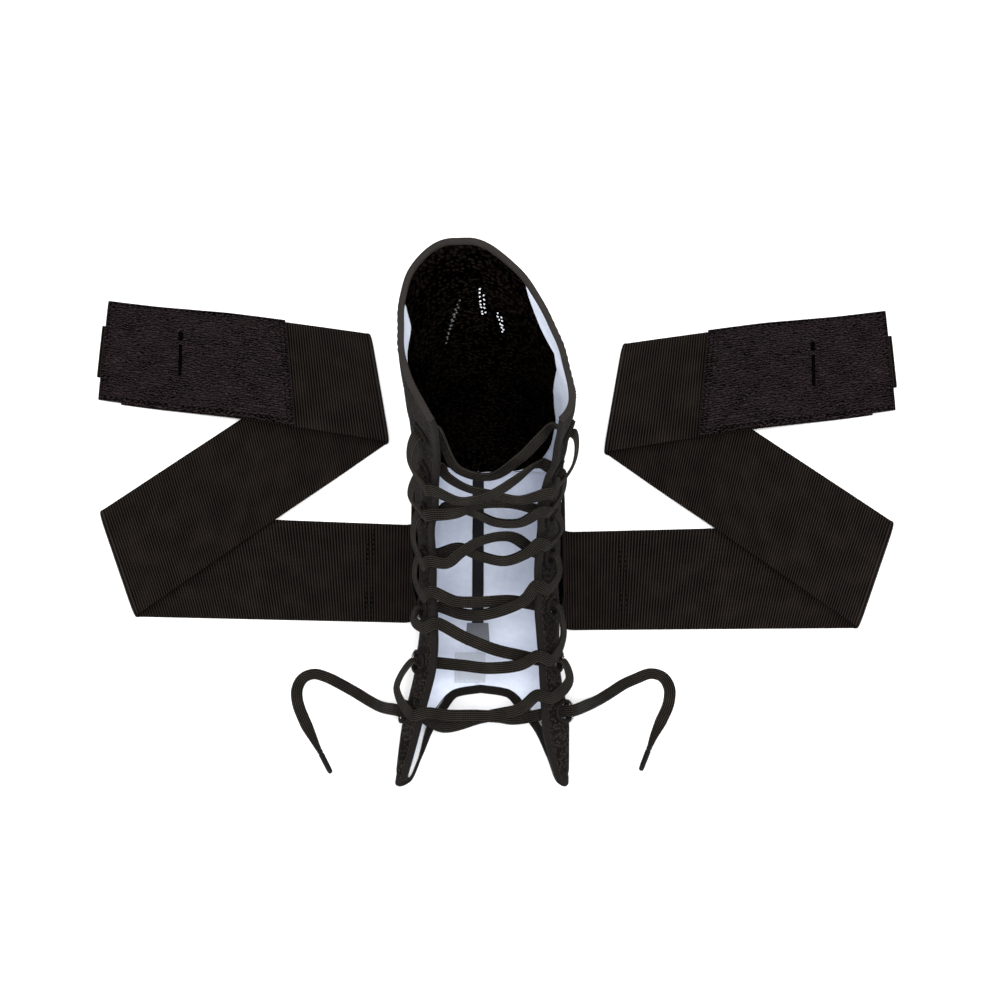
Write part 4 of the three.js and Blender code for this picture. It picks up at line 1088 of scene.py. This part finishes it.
LACE_ENDS = {
    -1: (
        (10.2, 6.4, 9), (15.7, 12.4, 2), (21.7, 16.9, 0.85), (28.2, 20.9, 0.85), (34.7, 24.4, 0.85),
        (40.2, 25.9, 0.85), (44.7, 23.9, 0.85), (47, 18.9, 0.85), (46.5, 12.4, 0.85), (43.3, 3.9, 0.85),
        (39.2, -4.6, 0.85), (36.7, -9.6, 0.9),
    ),
    1: (
        (11.2, 8.2, 9), (15.7, 13.7, 2.2), (20.7, 17.7, 0.85), (25.7, 21.2, 0.85), (31.2, 23.9, 0.85),
        (37.2, 26.2, 0.85), (42.2, 24.7, 0.85), (45, 19.7, 0.85), (44.5, 12.2, 0.85), (41.2, 4.2, 0.85),
        (37.7, -3.3, 0.85), (36, -7.8, 0.9),
    ),
}


@dataclass
class Spot:
    """One chosen place of the lace and the way that its flat side faces."""

    place: Array
    face: Array


def lace_curve(points: Array, steps: int) -> Array:
    """Draw a centripetal curve through points.

    Args:
        points: The chosen places.
        steps: How many steps to take from one place to the next.

    Returns:
        The places along the curve, the chosen ones among them.
    """
    ends = (2 * points[:1] - points[1:2], points, 2 * points[-1:] - points[-2:-1])
    p = np.concatenate(ends)
    time = np.sqrt(np.linalg.norm(np.diff(p, axis=0), axis=1))
    drawn = []
    for i in range(1, len(p) - 2):
        before, here, after = time[i - 1], time[i], time[i + 1]
        first, middle, last = p[i] - p[i - 1], p[i + 1] - p[i], p[i + 2] - p[i + 1]
        start = first / before - (first + middle) / (before + here) + middle / here
        stop = middle / here - (middle + last) / (here + after) + last / after
        start, stop = start * here, stop * here
        t = (np.arange(steps) / steps)[:, None]
        a = 2 * p[i] - 2 * p[i + 1] + start + stop
        b = -3 * p[i] + 3 * p[i + 1] - 2 * start - stop
        drawn.append(a * t**3 + b * t**2 + start * t + p[i])
    return np.concatenate([*drawn, points[-1:]])


@dataclass
class Lacing:
    """The eyelets, the lace through them, its free ends and their tips."""

    surface: BraceSurface
    count: int = 7
    first: float = 29.0
    pitch: float = 22.4
    inset: float = 11.5
    rim: float = 1.6
    seat: float = 0.0
    high: float = 1.25
    width: float = 5.0
    thick: float = 1.2
    clear: float = 1.6
    turn: float = 3.0
    tip_length: float = 12.0
    tip_radius: float = 1.2
    steps: int = 8
    holes: dict[tuple[int, int], Places] = field(default_factory=dict)
    stations: dict[tuple[int, int], float] = field(default_factory=dict)

    def __post_init__(self) -> None:
        """Place the lace holes along the laced edges."""
        stations = np.linspace(TOP, 0, 400)
        for side in SIDES:
            run = running_length(self.surface.at(stations, side).place)
            for number in range(1, self.count + 1):
                station = float(np.interp(self.first + (number - 1) * self.pitch, run, stations))
                self.stations[side, number] = station
                share = self.surface.edge_share(station, side, self.inset)
                self.holes[side, number] = self.surface.at(station, share)

    def hole(self, side: int, number: int) -> Places:
        """Return the centre of a lace hole, counted from the collar."""
        return self.holes[side, number]

    def eyelet(self, side: int, number: int) -> None:
        """Make the ring round one lace hole, with its wound thread."""
        hole = self.hole(side, number)
        station = self.stations[side, number]
        share = self.surface.edge_share(station, side, self.inset)
        first = unit(hole.onward)
        second = np.cross(hole.normal, first)
        angles = np.linspace(0, 2 * math.pi, 30, endpoint=False)[:, None]
        way = np.cos(angles) * first + np.sin(angles) * second
        turn = np.linspace(0, 2 * math.pi, 10, endpoint=False)
        middle = CLOTH.hole + self.rim / 2
        rings = []
        for spoke in turn:
            radius = middle + 0.5 * self.rim * math.cos(spoke)
            lift = self.seat + (self.high - self.seat) * (0.5 + 0.5 * math.sin(spoke))
            count = len(angles)
            where = self.surface.stepped(np.full(count, station), np.full(count, float(share)), way * radius)
            rings.append(self.surface.at(*where).lifted(lift))
        rings = np.stack(rings, axis=1)
        cloth = np.stack(np.broadcast_arrays(turn[None, :], angles * 4), -1)
        name = f"{SIDES[side]}_{number}"
        settle(bar(f"ring_{name}", rings, RIM, cloth, closed=True), "eyelet_thread", f"eyelet_{name}")
        winds = np.linspace(0, 2 * math.pi, 34, endpoint=False)[:, None]
        spokes = np.cos(winds) * first + np.sin(winds) * second
        lean = np.cross(hole.normal, spokes)
        points = hole.place + spokes * middle + hole.normal * (self.high - 0.05)
        made = Sewing.threads(f"winding_{name}", points, spokes + 0.2 * lean, self.rim * 1.15, 0.26, RIM)
        settle(made, "eyelet_thread")

    def gap_spot(self, across: float, station: float, lift: float) -> Spot:
        """Return a spot in the open gap between the laced edges."""
        run = self.surface.at(station + 0.05, 1).place - self.surface.at(station - 0.05, 1).place
        face = unit(np.array([0, -run[2], run[1]]))
        left, right = self.surface.at(station, -1).place, self.surface.at(station, 1).place
        return Spot(left + (right - left) * (across + 1) / 2 + face * lift, face)

    def wall_spot(self, side: int, station: float, inset: float, lift: float) -> Spot:
        """Return a spot over the wall beside the laced edge."""
        there = self.surface.at(station, self.surface.edge_share(station, side, inset))
        return Spot(there.lifted(lift), there.normal)

    def turn_spots(self, side: int, station: float) -> list[Spot]:
        """Return the spots where the lace turns over the laced edge."""
        there = self.surface.at(station, side * 0.999)
        beyond = unit(there.across) * side
        spots = []
        for angle in np.radians([15, 60]):
            face = there.normal * math.cos(angle) + beyond * math.sin(angle)
            spots.append(Spot(there.lifted(CLOTH.proud) + face * self.turn, face))
        return spots

    def hole_spots(self, hole: Places, inner: Array, outer: Array) -> list[Spot]:
        """Return the spots from the inside of a hole to its outside."""
        spots = []
        for depth, towards in (
            (-CLOTH.stack - 2 * self.clear, inner), (-CLOTH.stack - 0.4 * self.clear, inner),
            (self.high, outer), (self.high + self.clear, outer),
        ):
            way = towards - hole.place
            face = unit(way - hole.normal * dot(way, hole.normal))
            spots.append(Spot(hole.lifted(depth), face))
        return spots

    def route(self, side: int) -> Array:
        """Return the places of a free end, from beside its last hole to its tip."""
        hole = self.hole(side, self.count).place
        return np.array([[hole[0] + side * out, hole[1] + back, high] for out, back, high in LACE_ENDS[side]])

    def strand_spots(self, hand: int, inner: Array) -> list[Spot]:
        """Return the spots from the inside of a top hole to the outside of the last one below it."""
        side, before, spots = hand, inner, []
        for i, (bow, over, past) in enumerate(STRANDS[hand]):
            hole = self.hole(side, i + 1)
            middle = (self.stations[side, i + 1] + over) / 2
            loop = [
                self.wall_spot(side, middle, self.inset, bow),
                self.wall_spot(side, over, CLOTH.binding, self.turn),
            ]
            gap = [self.gap_spot(*row) for row in past]
            spots += self.hole_spots(hole, before, loop[0].place) + loop + self.turn_spots(side, over) + gap
            before = gap[-1].place
            side = -side
        return spots + self.hole_spots(self.hole(side, self.count), before, self.route(side)[0])

    def ribbon(self, spots: list[Spot], keep: float = 0.74) -> Ribbon:
        """Lay a flat lace through spots.

        Args:
            spots: The chosen places with the way that the lace faces there.
            keep: How much of its facing the lace keeps from one step to the next.

        Returns:
            The frames of the lace.
        """
        points = lace_curve(np.array([spot.place for spot in spots]), self.steps)
        runs = unit(np.gradient(points, axis=0))
        before = spots[0].face
        thick = []
        for i, run in enumerate(runs):
            t = i / self.steps
            at = min(int(t), len(spots) - 2)
            before = unit(before - run * float(before @ run))
            pair = [spots[at].face, spots[at + 1].face]
            pair = [face * (-1 if float(face @ before) < 0 else 1) for face in pair]
            facing = pair[0] + (pair[1] - pair[0]) * (t - at)
            facing = facing + (before - facing) * keep
            before = unit(facing - run * float(facing @ run))
            thick.append(before)
        thick = np.array(thick)
        return Ribbon(points, np.cross(thick, runs) * self.width / 2, thick * self.thick / 2)

    def build_tip(self, side: int, start: Array, way: Array) -> bpy.types.Object:
        """Make the hard tip of a free end, pressed in where it grips the lace."""
        run = unit(way * np.array([1, 1, 0]))
        across = np.cross(UP, run)
        reach = np.array([0, 0.5, 1.2, 1.6, 2.2, 2.6, 3.4, 9, 11, 11.7, 12.0]) * self.tip_length / 12
        size = np.array([0.85, 1, 1, 0.86, 0.86, 1, 1, 0.97, 0.9, 0.72, 0.3])
        turn = np.linspace(0, 2 * math.pi, 16, endpoint=False)[None, :, None]
        middle = (start * np.array([1, 1, 0]) + UP * self.tip_radius)[None] + run * reach[:, None]
        reach_out = self.tip_radius * size[:, None, None]
        rings = middle[:, None] + reach_out * (np.cos(turn) * across + np.sin(turn) * UP)
        cloth = np.zeros((len(reach), 16, 2))
        made = bar(f"lace_tip_{SIDES[side]}", rings, TIP, cloth)
        return settle(made, "aglet_plastic", f"aglet_{SIDES[side]}")

    def build_end(self, side: int) -> None:
        hand = SIDES[side]
        hole = self.hole(side, self.count)
        route = self.route(side)
        way = route[0] - hole.place
        face = unit(way - hole.normal * dot(way, hole.normal))
        start = self.high + self.clear + 0.1
        spots = [Spot(hole.lifted(start), face), Spot(hole.lifted(start + self.clear), face)]
        spots += [Spot(place, UP) for place in route]
        ribbon = self.ribbon(spots)
        left = (running_length(ribbon.place)[-1] - running_length(ribbon.place))[:, None]
        ribbon.wide = ribbon.wide * np.clip(0.45 + left / 22, 0.45, 1)
        made = settle(ribbon.build(f"free_lace_{hand}", LACE), "lace_braid", f"lace_end_{hand}")
        tip = self.build_tip(side, route[-1], route[-1] - route[-2])
        ribbon.length() * MM
        LOG.info("free lace %s: %.1f mm long", hand, ribbon.length())

    def build_ends(self) -> None:
        """Make both free ends."""
        for side in SIDES:
            self.build_end(side)

    def build(self) -> None:
        """Make the laced part of the lace and the eyelets."""
        top = [self.gap_spot(*row) for row in TOP_STRAND]
        spots = self.strand_spots(-1, top[0].place)[::-1] + top + self.strand_spots(1, top[-1].place)
        ribbon = self.ribbon(spots)
        settle(ribbon.build("laced_lace", LACE), "lace_braid", "lace")
        LOG.info("laced part: %.0f mm long", ribbon.length())
        for side in SIDES:
            for number in range(1, self.count + 1):
                self.eyelet(side, number)


@dataclass(frozen=True)
class StrapLine:
    """A line across a strap in plan: distance out, place along Y, tilt from Y and share of the width."""

    out: float
    y: float
    tilt: float
    length: float


@dataclass
class Strap:
    """One webbing strap, folded twice on the floor, with its patch and tab."""

    surface: BraceSurface
    side: int
    axis: float = 4.0
    width: float = 50.0
    thick: float = 1.4
    top: float = 38.0
    bend: float = 6.0
    fold: float = 1.7
    patch_thick: float = 1.6
    patch_start: float = 0.31
    overlap: float = 10.0
    tab_width: float = 26.0
    tab_reach: float = 2.0
    joint_out: float = 54.0
    right_root_shift: float = -3.6
    right_shift: float = -5.5
    pile_count: int = 2600
    pile_size: tuple[float, float] = (1.7, 0.13)
    row_shares: tuple[float, ...] = (0.012, 0.035, 0.985)
    side_row: float = 0.945
    mark_share: float = 0.585
    mark_half: float = 0.75
    mark_lift: float = 0.4
    root: StrapLine = StrapLine(38, 6.6, 0, 0.97)
    outer: StrapLine = StrapLine(163.6, 11, 20.5, 1.1)
    inner: StrapLine = StrapLine(55, 101, 9.5, 1.17)
    end: StrapLine = StrapLine(180, 122, -0.6, 1.08)
    second: tuple[float, ...] = (1, 0.86, 0.68, 0.45, 0.1, 0)
    third: tuple[float, ...] = (1, 1.08, 1.1, 1.05, 0.6, 0.15, 0)

    def line(self, row: StrapLine) -> tuple[Array, Array]:
        """Return a line's middle on the floor and its half reach."""
        right = self.right_root_shift if row is self.root else self.right_shift
        shift = 0.0 if self.side < 0 else right
        angle = math.radians(row.tilt)
        half = np.array([self.side * math.sin(angle), math.cos(angle), 0]) * row.length * self.width / 2
        return np.array([self.axis + self.side * row.out, row.y + shift, 0]), half

    def wall_reach(self, height: float) -> float:
        """Return how far the wall reaches out beside the strap at a height."""
        station, share = np.meshgrid(np.linspace(2.9, 5.2, 24), np.linspace(0.3, 0.95, 60))
        points = self.surface.at(station, self.side * share).place
        near = np.abs(points[..., 2] - height) < 3
        return float(np.max(self.side * points[..., 0][near]))

    def root_run(self) -> tuple[Array, Array]:
        """Return the places and facings from the strap's top on the wall down to the floor."""
        low = self.thick / 2
        widest = self.wall_reach(self.top * 0.7)
        heights = np.linspace(self.top, 0.5 * self.top, 9)
        reach = [max(self.wall_reach(h), widest - 0.6) + CLOTH.gap + low for h in heights]
        reach = np.convolve([reach[0], *reach, reach[-1]], [0.25, 0.5, 0.25], mode="valid")
        path = list(zip(reach, heights))
        foot = path[-1][0]
        down = [self.bend * 2.4 * (1 - t) + low + self.bend for t in (0.4, 0.75)]
        path += [(foot, height) for height in down if height < heights[-1] - 1]
        for angle in np.radians(np.linspace(0, 90, 10)):
            path.append((foot + self.bend * (1 - math.cos(angle)), low + self.bend * (1 - math.sin(angle))))
        middle, _ = self.line(self.root)
        place = np.array([[self.side * out, middle[1], height] for out, height in path])
        run = unit(np.gradient(place, axis=0))
        face = np.cross(run, np.array([0, 1.0, 0]))
        face = unit(face * np.where(self.side * face[:, :1] + face[:, 2:] < 0, -1, 1))
        return place, face

    def flat_run(
        self, start: StrapLine, stop: StrapLine, heights: tuple[float, ...], count: int, reach: float = 1.0,
    ) -> tuple[Array, Array]:
        """Return the places and half widths of a run between two lines."""
        t = np.linspace(0, reach, count)[:, None]
        (a, half_a), (b, half_b) = self.line(start), self.line(stop)
        place = a + (b - a) * t
        lift = along(np.linspace(0, 1, len(heights)), heights, np.minimum(t[:, 0], 1))
        place[:, 2] = self.thick / 2 + lift * 2 * self.fold
        return place, half_a + (half_b - half_a) * t

    def fold_run(self, row: StrapLine, outward_sign: int) -> tuple[Array, Array, Array]:
        """Return the places, half widths and facings round a fold, from its lower layer up."""
        middle, half = self.line(row)
        away = unit(np.cross(half, UP))
        if away[0] * self.side * outward_sign < 0:
            away = -away
        angle = np.radians(np.linspace(0, 180, 17))[:, None]
        spoke = away * np.sin(angle) - UP * np.cos(angle)
        place = middle + spoke * self.fold + UP * (self.thick / 2 + self.fold)
        return place, np.broadcast_to(half, place.shape), -spoke

    def third_length(self) -> float:
        """Return the length of the third run in plan."""
        return float(np.linalg.norm(self.line(self.end)[0] - self.line(self.inner)[0]))

    def ribbon(self) -> Ribbon:
        """Return the frames of the whole strap."""
        low = self.thick / 2
        root_place, root_face = self.root_run()
        _, root_half = self.line(self.root)
        parts = [(root_place, np.broadcast_to(root_half, root_place.shape), root_face)]
        first = parts[0][0][-1]
        outer_middle, outer_half = self.line(self.outer)
        t = np.linspace(0, 1, 28)[1:-1, None]
        start = np.array([first[0], first[1], 0])
        flat = start + (outer_middle - start) * t + UP * low
        parts.append((flat, root_half + (outer_half - root_half) * t, np.broadcast_to(UP, flat.shape)))
        parts.append(self.fold_run(self.outer, 1))
        place, half = self.flat_run(self.outer, self.inner, self.second, 30)
        parts.append((place[1:-1], half[1:-1], np.broadcast_to(-UP, place[1:-1].shape)))
        place, half, face = self.fold_run(self.inner, -1)
        parts.append((place, half, -face))
        stop = 1 - self.overlap / self.third_length()
        place, half = self.flat_run(self.inner, self.end, self.third, 30, stop)
        parts.append((place[1:], half[1:], np.broadcast_to(UP, place[1:].shape)))
        place, half, face = (np.concatenate([part[k] for part in parts]) for k in range(3))
        return Ribbon(place, half, face * low)

    def third_ribbon(
        self, start: float, stop: float, lift: float, thick: float, size: float, count: int,
    ) -> Ribbon:
        """Return frames over a stretch of the third run, at a lift above its middle."""
        place, half = self.flat_run(self.inner, self.end, self.third, 200, stop)
        t = np.linspace(0, stop, 200)
        at = np.linspace(start, stop, count)
        spaced = np.stack([np.interp(at, t, place[:, k]) for k in range(3)], -1) + UP * lift
        wide = np.stack([np.interp(at, t, half[:, k]) for k in range(3)], -1) * size
        return Ribbon(spaced, wide, np.broadcast_to(UP, spaced.shape) * thick / 2)

    def on_patch(self, ribbon: Ribbon, along_share: Array, across: Array, lift: float) -> Array:
        """Return points on a patch from shares of its length and its half width."""
        t = np.linspace(0, 1, len(ribbon.place))
        place = np.stack([np.interp(along_share, t, ribbon.place[:, k]) for k in range(3)], -1)
        wide = np.stack([np.interp(along_share, t, ribbon.wide[:, k]) for k in range(3)], -1)
        return place + wide * np.asarray(across)[..., None] + UP * (self.patch_thick / 2 + lift)

    def build_patch(self) -> tuple[bpy.types.Object, Ribbon]:
        """Make the fastener patch."""
        thick = self.patch_thick + CLOTH.gap
        lift = self.thick / 2 + thick / 2
        ribbon = self.third_ribbon(self.patch_start, 1, lift, thick, 1, 40)
        hand = SIDES[self.side]
        made = ribbon.build(f"patch_{hand}", PILE, 24)
        return settle(made, "fastener_patch", f"strap_patch_{hand}"), ribbon

    def dress_patch(self, ribbon: Ribbon) -> None:
        """Put the pile, the stitches and the sewn mark on the patch."""
        hand = SIDES[self.side]
        rng = np.random.default_rng(SEED + self.side)
        count = self.pile_count
        share, across = rng.uniform(0.03, 0.985, count), rng.uniform(-0.9, 0.9, count)
        points = self.on_patch(ribbon, share, across, 0.12)
        spread = ((0, 1), (0, 0.5), (0.25, 0.2))
        runs = np.stack([rng.normal(middle, reach, count) for middle, reach in spread], -1)
        settle(Sewing.threads(f"pile_{hand}", points, runs, *self.pile_size, PILE), "fastener_patch")
        ends = np.linspace(-0.97, 0.97, 60)
        rows = [self.on_patch(ribbon, np.full(60, share), ends, 0.1) for share in self.row_shares]
        sides = np.linspace(0.01, 0.985, 80)
        rows += [self.on_patch(ribbon, sides, np.full(80, side * self.side_row), 0.1) for side in SIDES]
        settle(Sewing.rows(f"patch_stitches_{hand}", rows, 2.6, 1.7, 0.3, DARK), "fastener_patch")
        mark = self.on_patch(ribbon, np.full(3, self.mark_share), np.array([0.25, 0, -0.35]), self.mark_lift)
        slit = Ribbon(mark, np.tile([self.mark_half, 0, 0], (3, 1)), np.tile(UP * 0.3, (3, 1)))
        settle(slit.build(f"mark_{hand}", DARK, 10), "fastener_patch")
        dots = self.on_patch(ribbon, np.full(2, self.mark_share), np.array([0.46, 0.38]), self.mark_lift)
        runs = np.diff(dots, axis=0).repeat(2, axis=0)
        settle(Sewing.threads(f"mark_dot_{hand}", dots, runs, 3.0, 1.2, DARK), "fastener_patch")

    def build(self) -> None:
        """Make the strap with its patch, tab and stitched joint."""
        hand = SIDES[self.side]
        ribbon = self.ribbon()
        strap = settle(ribbon.build(f"webbing_{hand}", WEBBING, 22), "webbing", f"strap_{hand}")
        patch, patch_ribbon = self.build_patch()
        self.dress_patch(patch_ribbon)
        start = 1 - (self.overlap - CLOTH.gap) / self.third_length()
        stop = 1 + self.tab_reach / self.third_length()
        tab_ribbon = self.third_ribbon(start, stop, -0.1, 1.2, self.tab_width / self.width, 6)
        tab = settle(tab_ribbon.build(f"tab_{hand}", WEBBING, 14), "webbing", f"strap_tab_{hand}")
        ribbon.length() * MM
        LOG.info("strap %s: %.0f mm long", hand, ribbon.length())
        middle, half = self.line(self.root)
        across = np.linspace(-0.96, 0.96, 60)[:, None]
        lines = []
        for shift in (0.0, 2.4):
            out = self.axis + self.side * (self.joint_out + shift)
            lines.append(np.array([out, middle[1], self.thick + 0.05]) + half * across)
        settle(Sewing.rows(f"joint_stitches_{hand}", lines, 2.4, 1.8, 0.25, DARK), "webbing")


@dataclass
class Insole:
    """The seam tape and the bare label sewn on the lining above the sole."""

    surface: BraceSurface
    length: float = 150.0
    tape_thick: float = 0.6
    tape_half: float = 2.5
    tape_from: float = 5.75
    tape_to: float = 3.12
    label: tuple[float, float] = (13.0, 14.0)
    label_thick: float = 0.5
    label_x: float = -7.2
    label_start: float = -0.22
    label_hem: float = 0.8
    label_frame: float = 5.8
    strip_start: float = -0.125
    strip_stop: float = -0.195
    strip_halves: tuple[float, float] = (4.6, 5.25)

    def strip(self, rows: Array, thick: float) -> Ribbon:
        """Lay a flat strip on the lining through rows of x, y and half width."""
        run = running_length(rows[:, :2])
        at = np.linspace(0, run[-1], 40)
        x, y, half = (np.interp(at, run, rows[:, k]) for k in range(3))
        zero = np.zeros_like(x)
        height = CLOTH.wall + thick / 2 + 0.05
        return Ribbon(np.stack([x, y, zero + height], -1), np.stack([half, zero, zero], -1),
                      np.tile(UP * thick / 2, (len(x), 1)))

    def on_seam(self, out: float, depth: float) -> Places:
        """Return places along the seam, beside its middle and above the lining."""
        stations = np.linspace(self.tape_from, self.tape_to, 60)
        share = (CLOTH.seam_x + out) / self.surface.total(stations, -1)
        there = self.surface.at(stations, share)
        there.place = there.lifted(-CLOTH.wall - depth)
        return there

    def build(self) -> None:
        """Make the tape and the label, and sew both down."""
        there = self.on_seam(0, self.tape_thick / 2 + 0.05)
        tape = Ribbon(there.place, unit(there.across) * self.tape_half, there.normal * -self.tape_thick / 2)
        settle(tape.build("sole_tape", SEAM, 14), "binding_tape", "sole_seam_tape")
        ends = zip((self.strip_start, self.strip_stop), self.strip_halves)
        rows = np.array([[CLOTH.seam_x, y * self.length, half] for y, half in ends])
        strip = self.strip(rows, self.tape_thick)
        settle(strip.build("sole_strip", STRIP, 14), "binding_tape", "sole_seam_tape")
        start = self.label_start * self.length
        wide, deep = self.label
        rows = np.array([[self.label_x, y, wide / 2] for y in (start, start - deep)])
        label = self.strip(rows, self.label_thick)
        settle(label.build("label", LABEL, 16), "label_cloth", "sole_label")
        high = CLOTH.wall + self.tape_thick + 0.1
        lines = [self.on_seam(side * 1.8, self.tape_thick + 0.1).place for side in SIDES]
        x0, x1 = self.label_x - self.label_frame, self.label_x + self.label_frame
        y0, y1 = start - self.label_hem, start - deep + self.label_hem
        corners = ((x0, y0), (x1, y0), (x1, y1), (x0, y1), (x0, y0))
        frame_line = np.array([[x, y, high] for x, y in corners])
        settle(Sewing.rows("sole_stitches", lines, 2.2, 1.6, 0.2), "eyelet_thread")
        settle(Sewing.rows("label_stitches", [frame_line], 2.0, 1.5, 0.16, PALE_THREAD_AND_PAINTED_LIGHT), "label_cloth")


@dataclass
class Studio:
    """A plain pale floor, plain soft light and the camera."""

    look_at: tuple[float, float, float] = (0.0056, 0.0439, 0.0)
    camera_at: tuple[float, float, float] = (0.0056, -0.5311, 0.9959)
    lens: float = 93.3
    floor_reach: float = 6000.0
    floor_level: float = -0.05
    paper: float = 0.93
    sky: float = 0.6

    def build_camera(self) -> None:
        """Set the camera at the photograph's angle."""
        data = bpy.data.cameras.new("camera")
        data.lens, data.sensor_width, data.sensor_fit = self.lens, 36.0, "HORIZONTAL"
        data.clip_start, data.clip_end = 0.01, 100.0
        made = bpy.data.objects.new("camera", data)
        made.location = self.camera_at
        way = Vector(self.look_at) - Vector(self.camera_at)
        made.rotation_euler = way.to_track_quat("-Z", "Y").to_euler()
        bpy.context.scene.collection.objects.link(made)
        bpy.context.scene.camera = made

    def light(self, name: str, place: tuple[float, float, float], size: float, power: float) -> None:
        """Hang a soft light that faces the brace."""
        data = bpy.data.lights.new(name, "AREA")
        data.energy, data.size = power, size
        made = bpy.data.objects.new(name, data)
        made.location = place
        made.rotation_euler = (Vector(self.look_at) - Vector(place)).to_track_quat("-Z", "Y").to_euler()
        bpy.context.scene.collection.objects.link(made)

    def build(self) -> None:
        """Lay the floor and light the scene."""
        signs = ((-1, -1), (1, -1), (1, 1), (-1, 1))
        corners = np.array([[x * self.floor_reach, y * self.floor_reach, self.floor_level] for x, y in signs])
        floor = mesh_object("floor", corners, [[0, 1, 2, 3]], LABEL)
        paper = bpy.data.materials.new("floor_paper")
        paper.use_nodes = True
        shader = paper.node_tree.nodes["Principled BSDF"]
        shader.inputs["Base Color"].default_value = (self.paper,) * 3 + (1,)
        shader.inputs["Roughness"].default_value = 0.9
        floor.data.materials.clear()
        floor.data.materials.append(paper)
        self.light("front_light", (0.1, -0.95, 1.75), 0.9, 42)
        self.light("key_light", (-1.1, -0.5, 1.5), 1.1, 16)
        self.light("fill_light", (1.3, -0.3, 1.3), 1.2, 10)
        self.light("back_light", (0.1, 1.4, 1.3), 1.0, 9)
        world = bpy.data.worlds.new("studio")
        world.use_nodes = True
        world.node_tree.nodes["Background"].inputs["Color"].default_value = (1, 1, 1, 1)
        world.node_tree.nodes["Background"].inputs["Strength"].default_value = self.sky
        bpy.context.scene.world = world
        bpy.context.scene.view_settings.view_transform = "Standard"


def main() -> None:
    """Build the studio and the brace in order."""
    logging.basicConfig(level=logging.INFO, format="%(name)s: %(message)s")
    studio = Studio()
    studio.build_camera()
    surface = BraceSurface()
    lacing = Lacing(surface)
    lacing.build_ends()
    lacing.build()
    Upper(surface).build(lacing)
    for side in SIDES:
        Strap(surface, side).build()
    Insole(surface).build()
    studio.build()


if __name__ == "__main__":
    main()
